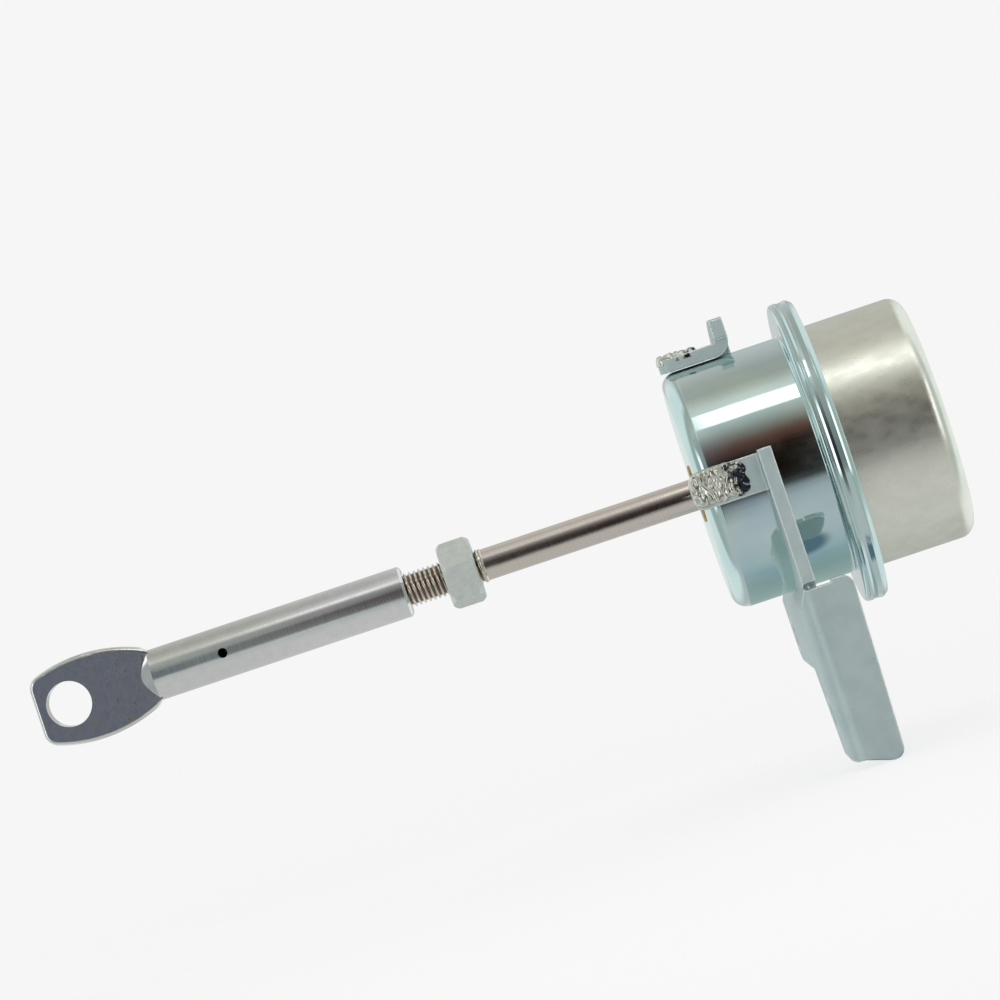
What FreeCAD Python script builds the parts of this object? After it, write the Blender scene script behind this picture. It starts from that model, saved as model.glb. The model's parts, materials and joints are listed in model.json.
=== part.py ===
import FreeCAD, Part
import Sketcher
import math
import os

from FreeCAD import Placement, Rotation, Vector

# Pressure-driven actuator for a turbocharger's wastegate: two drawn cans hold a rolling
# diaphragm and its spring between them, and air let in behind the diaphragm pushes the rod out.
#
# Frame: X is the axis of the cans and the rod, with the rod towards -X. +Z is up.
# The origin is on that axis, in the front face of the bracket's arms. The plate that bolts the
# actuator down stands a little further forward, at x = -joggle.

doc = FreeCAD.newDocument("wastegate_actuator")
sheet = doc.addObject("Spreadsheet::Sheet", "Sizes")


class Dim:
    """A length known both as a number and as the sheet expression that gives it."""

    def __init__(self, value, text):
        self.value = value
        self.text = text

    def __add__(self, other):
        other = as_dim(other)
        return Dim(self.value + other.value, f"({self.text} + {other.text})")

    def __sub__(self, other):
        other = as_dim(other)
        return Dim(self.value - other.value, f"({self.text} - {other.text})")

    def __mul__(self, other):
        other = as_dim(other)
        return Dim(self.value * other.value, f"({self.text} * {other.text})")

    def __truediv__(self, other):
        other = as_dim(other)
        return Dim(self.value / other.value, f"({self.text} / {other.text})")

    def __radd__(self, other):
        return as_dim(other) + self

    def __rsub__(self, other):
        return as_dim(other) - self

    def __rmul__(self, other):
        return as_dim(other) * self

    def __neg__(self):
        return Dim(-self.value, f"(0 - {self.text})")


def as_dim(number):
    if isinstance(number, Dim):
        return number
    return Dim(float(number), f"({float(number)})")


def root(square):
    return Dim(math.sqrt(square.value), f"sqrt({square.text})")


def cosine(angle):
    return Dim(math.cos(math.radians(angle.value)), f"cos({angle.text} * 1 deg)")


def sine(angle):
    return Dim(math.sin(math.radians(angle.value)), f"sin({angle.text} * 1 deg)")


def size(alias, value, meaning):
    """Adds one driving dimension to the sheet, in mm unless its meaning says degrees."""
    size.row += 1
    sheet.set(f"A{size.row}", alias)
    sheet.set(f"B{size.row}", str(value))
    sheet.set(f"C{size.row}", meaning)
    sheet.setAlias(f"B{size.row}", alias)
    return Dim(float(value), f"Sizes.{alias}")


size.row = 0

# Drawn cans and their rolled joint
can_wall = size("can_wall", 1.0, "sheet of both drawn cans")
front_radius = size("front_radius", 22.4, "outside of the front can")
front_reach = size("front_reach", 11.6, "bracket face forward to the front can's nose")
flange_front = size("flange_front", 11.15, "bracket face back to the joint flange")
flange_width = size("flange_width", 5.6, "rear can out to the edge of the rolled lip")
flange_round = size("flange_round", 0.9, "rounding of the rolled lip")
lip_width = size("lip_width", 3.1, "width of the lip rolled over the rear can's flange")
rear_radius = size("rear_radius", 22.8, "outside of the rear can")
rear_reach = size("rear_reach", 34.3, "bracket face back to the rear can's end")
can_corner = size("can_corner", 2.8, "outside corner of both cans")
dish_radius = size("dish_radius", 14.5, "stiffening dish in the rear end")
dish_depth = size("dish_depth", 1.0, "depth of that dish")
vent_radius = size("vent_radius", 1.5, "breather hole under the front can")
vent_place = size("vent_place", 6.5, "bracket face back to the breather hole")
lip_corner = size("lip_corner", 0.7, "rounding inside the rolled lip")

# Diaphragm and what carries it
bead_thickness = size("bead_thickness", 1.35, "clamped edge of the diaphragm")
membrane = size("membrane", 0.8, "rubber between edge and piston")
roll_place = size("roll_place", 7.9, "bracket face back to the middle of the roll")
slack = size("slack", 0.15, "free space beside the rubber and the lip")
piston_radius = size("piston_radius", 16.6, "outside of the piston's skirt")
piston_wall = size("piston_wall", 1.0, "sheet of the piston and its plates")
piston_skirt = size("piston_skirt", 19.0, "depth of the piston")
piston_corner = size("piston_corner", 2.0, "outside corner of the piston")
plate_radius = size("plate_radius", 14.2, "plate behind the diaphragm")
washer_radius = size("washer_radius", 8.0, "washer between rod and piston")
washer_thickness = size("washer_thickness", 1.2, "thickness of that washer")
rivet_washer_radius = size("rivet_washer_radius", 5.6, "washer under the riveted head")
rivet_washer_thickness = size("rivet_washer_thickness", 0.8, "thickness of that washer")
end_gap = size("end_gap", 0.3, "riveted head to the rear can at rest")
fine_gap = size("fine_gap", 0.05, "running clearance between moving pieces")

# Rod, guide and spring
rod_radius = size("rod_radius", 2.95, "plain rod")
thread_radius = size("thread_radius", 3.175, "threaded end of the rod, outside")
neck_radius = size("neck_radius", 2.2, "rod where it passes the piston")
head_radius = size("head_radius", 3.9, "riveted head")
head_thickness = size("head_thickness", 1.4, "thickness of the riveted head")
bush_radius = size("bush_radius", 5.4, "guide bush in the nose hole")
bush_nose = size("bush_nose", 0.25, "bush standing out of the nose")
bush_flange_radius = size("bush_flange_radius", 8.2, "flange of the bush inside the can")
bush_flange = size("bush_flange", 1.8, "thickness of that flange")
bush_chamfer = size("bush_chamfer", 0.15, "chamfer on the bush's nose")
seal_thickness = size("seal_thickness", 2.4, "rod seal behind the bush")
seat_radius = size("seat_radius", 16.0, "rim of the spring seat")
seat_sheet = size("seat_sheet", 0.9, "sheet of the spring seat")
seat_bore = size("seat_bore", 3.7, "rod hole in the spring seat")
spring_radius = size("spring_radius", 13.1, "middle of the wire to the axis")
spring_wire = size("spring_wire", 1.2, "half the wire's thickness")
spring_turns = size("spring_turns", 5.5, "turns of the return spring")

# Adjustable rod end
sleeve_start = size("sleeve_start", 67.3, "bracket face forward to the sleeve's open end")
sleeve_length = size("sleeve_length", 48.6, "sleeve up to its shoulder")
sleeve_radius = size("sleeve_radius", 4.75, "outside of the sleeve")
sleeve_chamfer = size("sleeve_chamfer", 0.5, "chamfers at the sleeve's open end")
sleeve_bore_depth = size("sleeve_bore_depth", 37.0, "depth of the threaded bore")
rod_grip = size("rod_grip", 30.0, "rod inside the sleeve")
thread_run = size("thread_run", 1.2, "thread behind the lock nut")
thread_chamfer = size("thread_chamfer", 0.8, "chamfer at the rod's tip")
witness_radius = size("witness_radius", 0.9, "sight hole in the sleeve")
witness_place = size("witness_place", 35.1, "open end to the sight hole")
eye_length = size("eye_length", 22.4, "flattened eye from the shoulder to its end")
eye_thickness = size("eye_thickness", 4.5, "thickness of the flattened eye")
eye_root = size("eye_root", 5.7, "half height of the eye beside the shoulder")
eye_tip = size("eye_tip", 5.9, "half height of the eye at its end")
eye_bulge = size("eye_bulge", 27.0, "radius of the eye's curved sides")
eye_corner = size("eye_corner", 2.8, "corners at the eye's end")
eye_rim = size("eye_rim", 0.7, "rounding round the eye's faces")
eye_hole_radius = size("eye_hole_radius", 4.2, "pin hole in the eye")
eye_hole_place = size("eye_hole_place", 16.2, "shoulder to the middle of the pin hole")
shoulder = size("shoulder", 2.3, "length of the slope from sleeve to eye")
seat_land = size("seat_land", 0.1, "shoulder's foot below the eye's faces")

# Lock nut
nut_place = size("nut_place", 53.8, "bracket face forward to the nut")
nut_thickness = size("nut_thickness", 6.2, "thickness of the nut")
nut_flats = size("nut_flats", 11.1, "across the nut's flats")
nut_angle = size("nut_angle", 15.7, "degrees, from the side view up to the nearest corner")
nut_chamfer = size("nut_chamfer", 0.9, "depth of the nut's corner chamfer")

# Bracket
bracket_sheet = size("bracket_sheet", 2.5, "sheet of the bracket")
bend_inner = size("bend_inner", 0.5, "inner radius of the bracket's bends")
arm_margin = size("arm_margin", 3.8, "bracket outside the bends of its tabs")
can_gap = size("can_gap", 0.1, "front can to the bracket")
joggle = size("joggle", 1.6, "how far the lower plate stands forward of the bracket face")
joggle_top = size("joggle_top", 21.4, "axis down to the start of that step")
joggle_bottom = size("joggle_bottom", 25.0, "axis down to the end of that step")
arm_end = size("arm_end", 4.4, "axis plane to the ends of the bracket's C")
tab_width = size("tab_width", 6.8, "welded tabs")
tab_reach = size("tab_reach", 13.1, "bracket face forward to the side tabs' ends")
top_tab_reach = size("top_tab_reach", 11.0, "bracket face forward to the top tab's end")
tab_corner = size("tab_corner", 1.8, "corner radius at the tabs' ends")
tab_relief = size("tab_relief", 0.6, "cut beside each tab")
tab_shift = size("tab_shift", 1.2, "degrees from the axis planes to the near and top tabs")
far_tab_angle = size("far_tab_angle", 180.0, "degrees from the near side round to the far tab")
leg_flange_top = size("leg_flange_top", 21.1, "axis down to the top of the leg's flange")
leg_flange = size("leg_flange", 8.9, "depth of the leg's flange from the bracket face")
leg_tip = size("leg_tip", 53.2, "axis down to the leg's tip")
leg_taper = size("leg_taper", 1.0, "how much narrower the flange is at its lower end")
leg_foot = size("leg_foot", 1.4, "rounding at the foot of the leg's front face")
leg_slope = size("leg_slope", 2.2, "how much further down the flange's rear corner is")
leg_corner = size("leg_corner", 2.0, "corner radius at the leg's tip")
leg_root_width = size("leg_root_width", 25.0, "leg's width at the ear")
leg_tip_width = size("leg_tip_width", 15.0, "leg's width at its tip")
ear_bottom = size("ear_bottom", 36.8, "axis down to the ear's lower edge")
ear_reach = size("ear_reach", 38.0, "axis out to the ear's far edge")
ear_top = size("ear_top", 15.0, "axis down to the ear's upper corner")
ear_corner = size("ear_corner", 5.0, "corner radius of the ear")
ear_angle = size("ear_angle", 12.0, "degrees below the side where ear and arm meet")
bolt_radius = size("bolt_radius", 3.3, "mounting bolt holes")
upper_bolt_out = size("upper_bolt_out", 30.5, "axis out to the ear's bolt hole")
upper_bolt_down = size("upper_bolt_down", 31.6, "axis down to the ear's bolt hole")
lower_bolt_in = size("lower_bolt_in", 11.6, "near edge to the leg's bolt hole")
lower_bolt_down = size("lower_bolt_down", 44.5, "axis down to the leg's bolt hole")
relief_radius = size("relief_radius", 0.6, "notch above the leg's flange")
relief_length = size("relief_length", 1.9, "length of that notch")

# Weld beads on the tabs
weld_pitch = size("weld_pitch", 2.3, "from one weld ripple to the next")
weld_length = size("weld_length", 3.7, "length of one ripple along the tab")
weld_height = size("weld_height", 0.8, "weld standing above the tab")
weld_margin = size("weld_margin", 0.3, "tab left bare beside the weld")

# Hose nipple
nipple_place = size("nipple_place", 25.0, "bracket face back to the hose nipple")
nipple_radius = size("nipple_radius", 2.5, "outside of the nipple's tube")
nipple_bore = size("nipple_bore", 1.5, "air passage")
nipple_reach = size("nipple_reach", 37.5, "axis out to the nipple's end")
nipple_bead = size("nipple_bead", 0.5, "hose bead standing above the tube")
nipple_bead_length = size("nipple_bead_length", 3.2, "length of the hose bead")
braze_size = size("braze_size", 1.3, "width and height of the brazed fillet")
nipple_stub = size("nipple_stub", 0.8, "nipple's tube inside the can's wall")
nipple_taper = size("nipple_taper", 0.3, "how much the nipple narrows at its mouth")

# Places that follow from the sizes above
flange_radius = rear_radius + flange_width
lip_inner_radius = flange_radius - lip_width
nose = -front_reach
nose_inside = nose + can_wall
bead_front = flange_front + can_wall
bead_rear = bead_front + bead_thickness
lip_rear = bead_rear + 2 * can_wall
rear_inside = rear_reach - can_wall - dish_depth
head_rear = rear_inside - end_gap
head_front = head_rear - head_thickness
plate_rear = head_front - rivet_washer_thickness
plate_front = plate_rear - piston_wall
membrane_rear = plate_front - fine_gap
membrane_front = membrane_rear - membrane
crown_rear = membrane_front - fine_gap
crown_front = crown_rear - piston_wall
rod_shoulder = crown_front - washer_thickness
bush_inside = nose_inside + bush_flange
seal_inside = bush_inside + seal_thickness
spring_front = nose_inside + seat_sheet
spring_rear = crown_front - 2 * fine_gap
tab_inside = front_radius + can_gap
tab_outside = tab_inside + bracket_sheet
bend_outer = bend_inner + bracket_sheet
arm_reach = tab_outside + bend_inner + arm_margin
plate_low = bracket_sheet - joggle
beyond = 2 * bracket_sheet
sleeve_open = -sleeve_start
sleeve_shoulder = sleeve_open - sleeve_length
ZERO = as_dim(0)

SUBPARTS = []


def line(x, y):
    """A straight edge to the corner (x, y)."""
    return {"point": (as_dim(x), as_dim(y)), "centre": None}


def arc(x, y, centre_x, centre_y, turn):
    """A round edge to the corner (x, y); turn is +1 anticlockwise, -1 clockwise."""
    return {
        "point": (as_dim(x), as_dim(y)),
        "centre": (as_dim(centre_x), as_dim(centre_y)),
        "turn": turn,
    }


def fix(sketch, kind, geometry, place, dim):
    """Ties one coordinate of a sketch point, or a radius, to the sheet."""
    if kind == "Radius":
        constraint = Sketcher.Constraint(kind, geometry, dim.value)
    else:
        constraint = Sketcher.Constraint(kind, -1, 1, geometry, place, dim.value)
    index = sketch.addConstraint(constraint)
    sketch.setExpression(f"Constraints[{index}]", dim.text)


def draw_loop(sketch, steps):
    """Draws a closed outline; each step is an edge from the step before it to its corner."""
    first = len(sketch.Geometry)
    ends = []
    for step, before in zip(steps, [steps[-1]] + steps[:-1]):
        start = Vector(before["point"][0].value, before["point"][1].value, 0)
        end = Vector(step["point"][0].value, step["point"][1].value, 0)
        if step["centre"] is None:
            sketch.addGeometry(Part.LineSegment(start, end), False)
            ends.append((1, 2))
            continue
        centre = Vector(step["centre"][0].value, step["centre"][1].value, 0)
        circle = Part.Circle(centre, Vector(0, 0, 1), (end - centre).Length)
        if step["turn"] > 0:
            low, high = start - centre, end - centre
            ends.append((1, 2))
        else:
            low, high = end - centre, start - centre
            ends.append((2, 1))
        angles = [math.atan2(low.y, low.x), math.atan2(high.y, high.x)]
        sketch.addGeometry(Part.ArcOfCircle(circle, *angles), False)
    count = len(steps)
    for i, step in enumerate(steps):
        geometry = first + i
        following = (i + 1) % count
        joint = (geometry, ends[i][1], first + following, ends[following][0])
        sketch.addConstraint(Sketcher.Constraint("Coincident", *joint))
        fix(sketch, "DistanceX", geometry, ends[i][1], step["point"][0])
        fix(sketch, "DistanceY", geometry, ends[i][1], step["point"][1])
        if step["centre"] is not None:
            before = steps[i - 1]["point"]
            chord_x = abs(step["point"][0].value - before[0].value)
            chord_y = abs(step["point"][1].value - before[1].value)
            if chord_y > chord_x:
                fix(sketch, "DistanceX", geometry, 3, step["centre"][0])
            else:
                fix(sketch, "DistanceY", geometry, 3, step["centre"][1])


def draw_circle(sketch, x, y, radius):
    x, y = as_dim(x), as_dim(y)
    circle = Part.Circle(Vector(x.value, y.value, 0), Vector(0, 0, 1), radius.value)
    geometry = sketch.addGeometry(circle, False)
    fix(sketch, "DistanceX", geometry, 3, x)
    fix(sketch, "DistanceY", geometry, 3, y)
    fix(sketch, "Radius", geometry, 0, radius)


def new_body(label):
    body = doc.addObject("PartDesign::Body", label)
    body.Label = label
    SUBPARTS.append(body)
    return body


def sketch_on(body, role, turn=0, out=ZERO):
    """A sketch on one of the body's origin planes, turned about X and moved along its normal."""
    sketch = body.newObject("Sketcher::SketchObject", body.Label + "_sketch")
    plane = next(f for f in body.Origin.OriginFeatures if f.Role == role)
    sketch.AttachmentSupport = [(plane, "")]
    sketch.MapMode = "FlatFace"
    sketch.AttachmentOffset = Placement(Vector(0, 0, out.value), Rotation(Vector(1, 0, 0), turn))
    if out is not ZERO:
        sketch.setExpression("AttachmentOffset.Base.z", out.text)
    return sketch


def add_feature(body, kind, sketch):
    feature = body.newObject("PartDesign::" + kind, f"{body.Label}_{kind.lower()}")
    feature.Profile = sketch
    return feature


def turned(body, steps, axis="H_Axis", cut=False):
    """Revolves an outline in the XY plane about the X axis, or the Y axis for V_Axis."""
    sketch = sketch_on(body, "XY_Plane")
    draw_loop(sketch, steps)
    feature = add_feature(body, "Groove" if cut else "Revolution", sketch)
    feature.ReferenceAxis = (sketch, [axis])
    feature.Angle = 360
    return feature


def padded(body, sketch, length, symmetric=False, backwards=False):
    feature = add_feature(body, "Pad", sketch)
    feature.Length = length.value
    feature.setExpression("Length", length.text)
    feature.SideType = "Symmetric" if symmetric else "One side"
    feature.Reversed = backwards
    return feature


def pocketed(body, sketch, length=None, symmetric=False, backwards=False):
    feature = add_feature(body, "Pocket", sketch)
    if length is None:
        feature.Type = "ThroughAll"
    else:
        feature.Length = length.value
        feature.setExpression("Length", length.text)
    feature.SideType = "Symmetric" if symmetric else "One side"
    feature.Reversed = backwards
    return feature


def rounded(body, radius, wanted):
    """Rounds the edges of the body's tip that the test picks out."""
    doc.recompute()
    base = body.Tip
    names = [f"Edge{i + 1}" for i, edge in enumerate(base.Shape.Edges) if wanted(edge)]
    if not names:
        raise RuntimeError(f"{body.Label}: no edge to round")
    feature = body.newObject("PartDesign::Fillet", body.Label + "_fillet")
    feature.Base = (base, names)
    feature.Radius = radius.value
    feature.setExpression("Radius", radius.text)
    return feature


def ring_at(x, radius):
    """Picks the circular edge round the X axis at one place and radius."""

    def wanted(edge):
        curve = edge.Curve
        if not isinstance(curve, Part.Circle):
            return False
        round_axis = abs(curve.Center.y) + abs(curve.Center.z) < 0.001
        return (
            round_axis
            and abs(curve.Center.x - x.value) < 0.001
            and abs(curve.Radius - radius.value) < 0.001
        )

    return wanted


def either(*tests):
    return lambda edge: any(test(edge) for test in tests)


def tube(body, x_low, x_high, inner, outer):
    """A plain ring about the X axis."""
    corners = [line(x_low, inner), line(x_high, inner), line(x_high, outer), line(x_low, outer)]
    return turned(body, corners)


def make_front_can():
    """Drawn cup whose mouth is flanged out and rolled back over the rear can's flange."""
    body = new_body("front_can")
    lip_inside = flange_radius - can_wall
    lip_front = lip_rear - can_wall
    wall_inside = front_radius - can_wall
    turned(
        body,
        [
            line(nose, bush_radius),
            line(nose, front_radius),
            line(flange_front, front_radius),
            line(flange_front, flange_radius),
            line(lip_rear, flange_radius),
            line(lip_rear, lip_inner_radius),
            line(lip_front, lip_inner_radius),
            line(lip_front, lip_inside),
            line(bead_front, lip_inside),
            line(bead_front, wall_inside),
            line(nose_inside, wall_inside),
            line(nose_inside, bush_radius),
        ],
    )
    rounded(body, can_corner, ring_at(nose, front_radius))
    rounded(body, can_corner - can_wall, ring_at(nose_inside, wall_inside))
    rounded(body, flange_round, either(ring_at(flange_front, flange_radius), ring_at(lip_rear, flange_radius)))
    rounded(body, can_wall, ring_at(flange_front, front_radius))
    rounded(body, lip_corner, either(ring_at(lip_front, lip_inside), ring_at(bead_front, lip_inside)))
    rounded(body, can_wall / 2, ring_at(bead_front, wall_inside))
    sketch = sketch_on(body, "XY_Plane")
    draw_circle(sketch, vent_place, 0, vent_radius)
    pocketed(body, sketch)


def make_rear_can():
    """Drawn cup with a flat flange, a dished end and a hole for the hose nipple."""
    body = new_body("rear_can")
    flange_edge = flange_radius - can_wall - lip_corner
    flange_back = bead_rear + can_wall
    wall_inside = rear_radius - can_wall
    end_inside = rear_reach - can_wall
    turned(
        body,
        [
            line(bead_rear, wall_inside),
            line(bead_rear, flange_edge),
            line(flange_back, flange_edge),
            line(flange_back, rear_radius),
            line(rear_reach, rear_radius),
            line(rear_reach, dish_radius + dish_depth),
            line(rear_reach - dish_depth, dish_radius),
            line(rear_reach - dish_depth, 0),
            line(end_inside - dish_depth, 0),
            line(end_inside - dish_depth, dish_radius + can_wall / 2),
            line(end_inside, dish_radius + can_wall / 2 + dish_depth),
            line(end_inside, wall_inside),
        ],
    )
    rounded(body, can_corner, ring_at(rear_reach, rear_radius))
    rounded(body, can_corner - can_wall, ring_at(end_inside, wall_inside))
    rounded(body, can_wall, ring_at(flange_back, rear_radius))
    rounded(body, can_wall / 2, ring_at(bead_rear, wall_inside))
    sketch = sketch_on(body, "XZ_Plane")
    draw_circle(sketch, nipple_place, 0, nipple_radius + fine_gap)
    pocketed(body, sketch)


def make_diaphragm():
    """Rubber top hat: its edge is clamped in the joint and it rolls between can and piston."""
    body = new_body("diaphragm")
    edge_radius = flange_radius - can_wall - lip_corner
    outer_leg = front_radius - can_wall - slack
    inner_leg = piston_radius + slack
    roll_middle = (outer_leg + inner_leg) / 2
    corner_x = membrane_front - piston_corner
    corner_r = inner_leg - piston_corner
    turned(
        body,
        [
            line(bead_front, edge_radius),
            line(bead_rear, edge_radius),
            line(bead_rear, outer_leg - membrane),
            line(roll_place, outer_leg - membrane),
            arc(roll_place, inner_leg + membrane, roll_place, roll_middle, 1),
            line(corner_x, inner_leg + membrane),
            arc(membrane_rear, corner_r, corner_x, corner_r, -1),
            line(membrane_rear, neck_radius + fine_gap),
            line(membrane_front, neck_radius + fine_gap),
            line(membrane_front, corner_r),
            arc(corner_x, inner_leg, corner_x, corner_r, 1),
            line(roll_place, inner_leg),
            arc(roll_place, outer_leg, roll_place, roll_middle, -1),
            line(bead_front, outer_leg),
        ],
    )


def make_piston():
    """Pressed cup that the spring pushes back and the diaphragm rolls along."""
    body = new_body("piston")
    skirt_front = crown_rear - piston_skirt
    skirt_inside = piston_radius - piston_wall
    turned(
        body,
        [
            line(crown_rear, neck_radius + fine_gap),
            line(crown_rear, piston_radius),
            line(skirt_front, piston_radius),
            line(skirt_front, skirt_inside),
            line(crown_front, skirt_inside),
            line(crown_front, neck_radius + fine_gap),
        ],
    )
    rounded(body, piston_corner, ring_at(crown_rear, piston_radius))
    rounded(body, piston_corner - piston_wall, ring_at(crown_front, skirt_inside))


def make_plates():
    """Retainer plate behind the diaphragm, and the washers on both sides of the stack."""
    hole = neck_radius + fine_gap
    tube(new_body("retainer_plate"), plate_front, plate_rear, hole, plate_radius)
    rounded(SUBPARTS[-1], piston_wall / 3, ring_at(plate_front, plate_radius))
    tube(new_body("backing_washer"), rod_shoulder, crown_front, hole, washer_radius)
    tube(new_body("rivet_washer"), plate_rear, head_front, hole, rivet_washer_radius)


def make_rod():
    """Rod with a threaded front end, and a shouldered neck riveted over at the piston."""
    body = new_body("actuator_rod")
    tip = sleeve_open - rod_grip
    thread_end = thread_run - nut_place
    turned(
        body,
        [
            line(tip, 0),
            line(tip, thread_radius - thread_chamfer),
            line(tip + thread_chamfer, thread_radius),
            line(thread_end, thread_radius),
            line(thread_end + (thread_radius - rod_radius), rod_radius),
            line(rod_shoulder, rod_radius),
            line(rod_shoulder, neck_radius),
            line(head_front, neck_radius),
            line(head_front, head_radius),
            line(head_front + head_thickness / 2, head_radius),
            line(head_rear, head_radius / 2),
            line(head_rear, 0),
        ],
    )


def make_rod_bush():
    """Sintered guide bush, flanged inside the can and standing out of its nose."""
    body = new_body("rod_bush")
    bore = rod_radius + fine_gap
    turned(
        body,
        [
            line(nose - bush_nose, bore),
            line(nose - bush_nose, bush_radius - bush_chamfer),
            line(nose - bush_nose + bush_chamfer, bush_radius),
            line(nose_inside, bush_radius),
            line(nose_inside, bush_flange_radius),
            line(bush_inside, bush_flange_radius),
            line(bush_inside, bore),
        ],
    )


def make_rod_seal():
    """Ring seal between the bush and the raised middle of the spring seat."""
    tube(new_body("rod_seal"), bush_inside, seal_inside, rod_radius + fine_gap, bush_flange_radius)


def make_spring_seat():
    """Pressed hat that holds bush and seal in place and centres the spring."""
    body = new_body("spring_seat")
    hat_inside = bush_flange_radius + slack
    turned(
        body,
        [
            line(nose_inside, seat_radius),
            line(spring_front, seat_radius),
            line(spring_front, hat_inside + seat_sheet),
            line(seal_inside + seat_sheet, hat_inside + seat_sheet),
            line(seal_inside + seat_sheet, seat_bore),
            line(seal_inside, seat_bore),
            line(seal_inside, hat_inside),
            line(nose_inside, hat_inside),
        ],
    )
    rounded(body, seat_sheet, ring_at(seal_inside + seat_sheet, hat_inside + seat_sheet))


def make_return_spring():
    """Compression spring between its seat and the piston, with both ends ground flat."""
    body = new_body("return_spring")
    sketch = sketch_on(body, "XY_Plane")
    draw_circle(sketch, spring_front + spring_wire / 4, spring_radius, spring_wire)
    coil = add_feature(body, "AdditiveHelix", sketch)
    coil.ReferenceAxis = (sketch, ["H_Axis"])
    coil.Mode = "height-turns-angle"
    height = spring_rear - spring_front - spring_wire / 2
    coil.Height = height.value
    coil.setExpression("Height", height.text)
    coil.Turns = spring_turns.value
    coil.setExpression("Turns", spring_turns.text)
    coil.Angle = 0
    reach = spring_radius + 2 * spring_wire
    for ground, away in ((spring_front, -1), (spring_rear, 1)):
        beyond = ground + 3 * away * spring_wire
        corners = [line(ground, 0), line(ground, reach), line(beyond, reach), line(beyond, 0)]
        turned(body, corners, cut=True)


def make_lock_nut():
    """Plain hexagon nut, chamfered on both faces."""
    body = new_body("lock_nut")
    front = -nut_place - nut_thickness
    corner_radius = nut_flats / math.sqrt(3)
    sketch = sketch_on(body, "YZ_Plane", out=front)
    corners = []
    for i in range(6):
        angle = 180 - nut_angle + 60 * i
        corners.append(line(corner_radius * cosine(angle), corner_radius * sine(angle)))
    draw_loop(sketch, corners)
    padded(body, sketch, nut_thickness)
    sketch = sketch_on(body, "YZ_Plane")
    draw_circle(sketch, 0, 0, thread_radius + fine_gap)
    pocketed(body, sketch, symmetric=True)
    land = nut_flats / 2 - fine_gap
    outside = corner_radius + nut_chamfer
    slope = (outside - land) * nut_chamfer / (corner_radius - land)
    for face, inward in ((front, 1), (-nut_place, -1)):
        corners = [
            line(face, land),
            line(face + inward * slope, outside),
            line(face - inward * nut_chamfer, outside),
            line(face - inward * nut_chamfer, land),
        ]
        turned(body, corners, cut=True)


def make_rod_end():
    """Threaded sleeve forged down to a flat eye with bulging sides."""
    body = new_body("rod_end")
    bore = thread_radius + fine_gap
    bore_end = sleeve_open - sleeve_bore_depth
    tip = sleeve_shoulder - eye_length
    root_x = sleeve_shoulder - shoulder / 2
    half_chord = (root_x - tip) / 2
    middle = (root_x + tip) / 2
    drop = root(eye_bulge * eye_bulge - half_chord * half_chord)
    centre_z = (eye_tip + eye_root) / 2 - drop
    lean = (eye_root - eye_tip) / 2 * drop / half_chord
    sketch = sketch_on(body, "XZ_Plane")
    draw_loop(
        sketch,
        [
            line(tip, -eye_tip),
            arc(root_x, -eye_root, middle - lean, -centre_z, 1),
            line(sleeve_shoulder + eye_rim, eye_rim - sleeve_radius),
            line(sleeve_shoulder + eye_rim, sleeve_radius - eye_rim),
            line(root_x, eye_root),
            arc(tip, eye_tip, middle - lean, centre_z, 1),
        ],
    )
    padded(body, sketch, eye_thickness, symmetric=True)

    def at_tip(edge):
        upright = edge.BoundBox.YLength > eye_thickness.value - 0.01
        return upright and abs(edge.CenterOfMass.x - tip.value) < 0.01

    rounded(body, eye_corner, at_tip)

    def on_rim(edge):
        box = edge.BoundBox
        return box.YLength < 0.001 and box.XMax < sleeve_shoulder.value

    rounded(body, eye_rim, on_rim)
    turned(
        body,
        [
            line(sleeve_shoulder - shoulder, 0),
            line(sleeve_shoulder - shoulder, eye_thickness / 2 - seat_land),
            line(sleeve_shoulder, sleeve_radius),
            line(sleeve_open - sleeve_chamfer, sleeve_radius),
            line(sleeve_open, sleeve_radius - sleeve_chamfer),
            line(sleeve_open, bore + sleeve_chamfer / 2),
            line(sleeve_open - sleeve_chamfer / 2, bore),
            line(bore_end, bore),
            line(bore_end - bore / 2, 0),
        ],
    )
    sketch = sketch_on(body, "XZ_Plane")
    draw_circle(sketch, sleeve_shoulder - eye_hole_place, 0, eye_hole_radius)
    pocketed(body, sketch, symmetric=True)
    sketch = sketch_on(body, "XZ_Plane")
    draw_circle(sketch, sleeve_open - witness_place, 0, witness_radius)
    pocketed(body, sketch, backwards=True)


def tab_outline(reach):
    """Section of a tab: flat along the can, then bent out into the bracket's face."""
    return [
        line(-reach, -tab_inside),
        line(-reach, -tab_outside),
        line(-bend_inner, -tab_outside),
        arc(0, -tab_outside - bend_inner, -bend_inner, -tab_outside - bend_inner, -1),
        line(bracket_sheet, -tab_outside - bend_inner),
        arc(-bend_inner, -tab_inside, -bend_inner, -tab_outside - bend_inner, 1),
    ]


def tabs():
    """Name, turn about X from the near side, and reach of each welded tab."""
    return [
        ("near_tab_weld", -tab_shift.value, tab_reach),
        ("top_tab_weld", tab_shift.value - 90, top_tab_reach),
        ("far_tab_weld", far_tab_angle.value, top_tab_reach),
    ]


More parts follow.
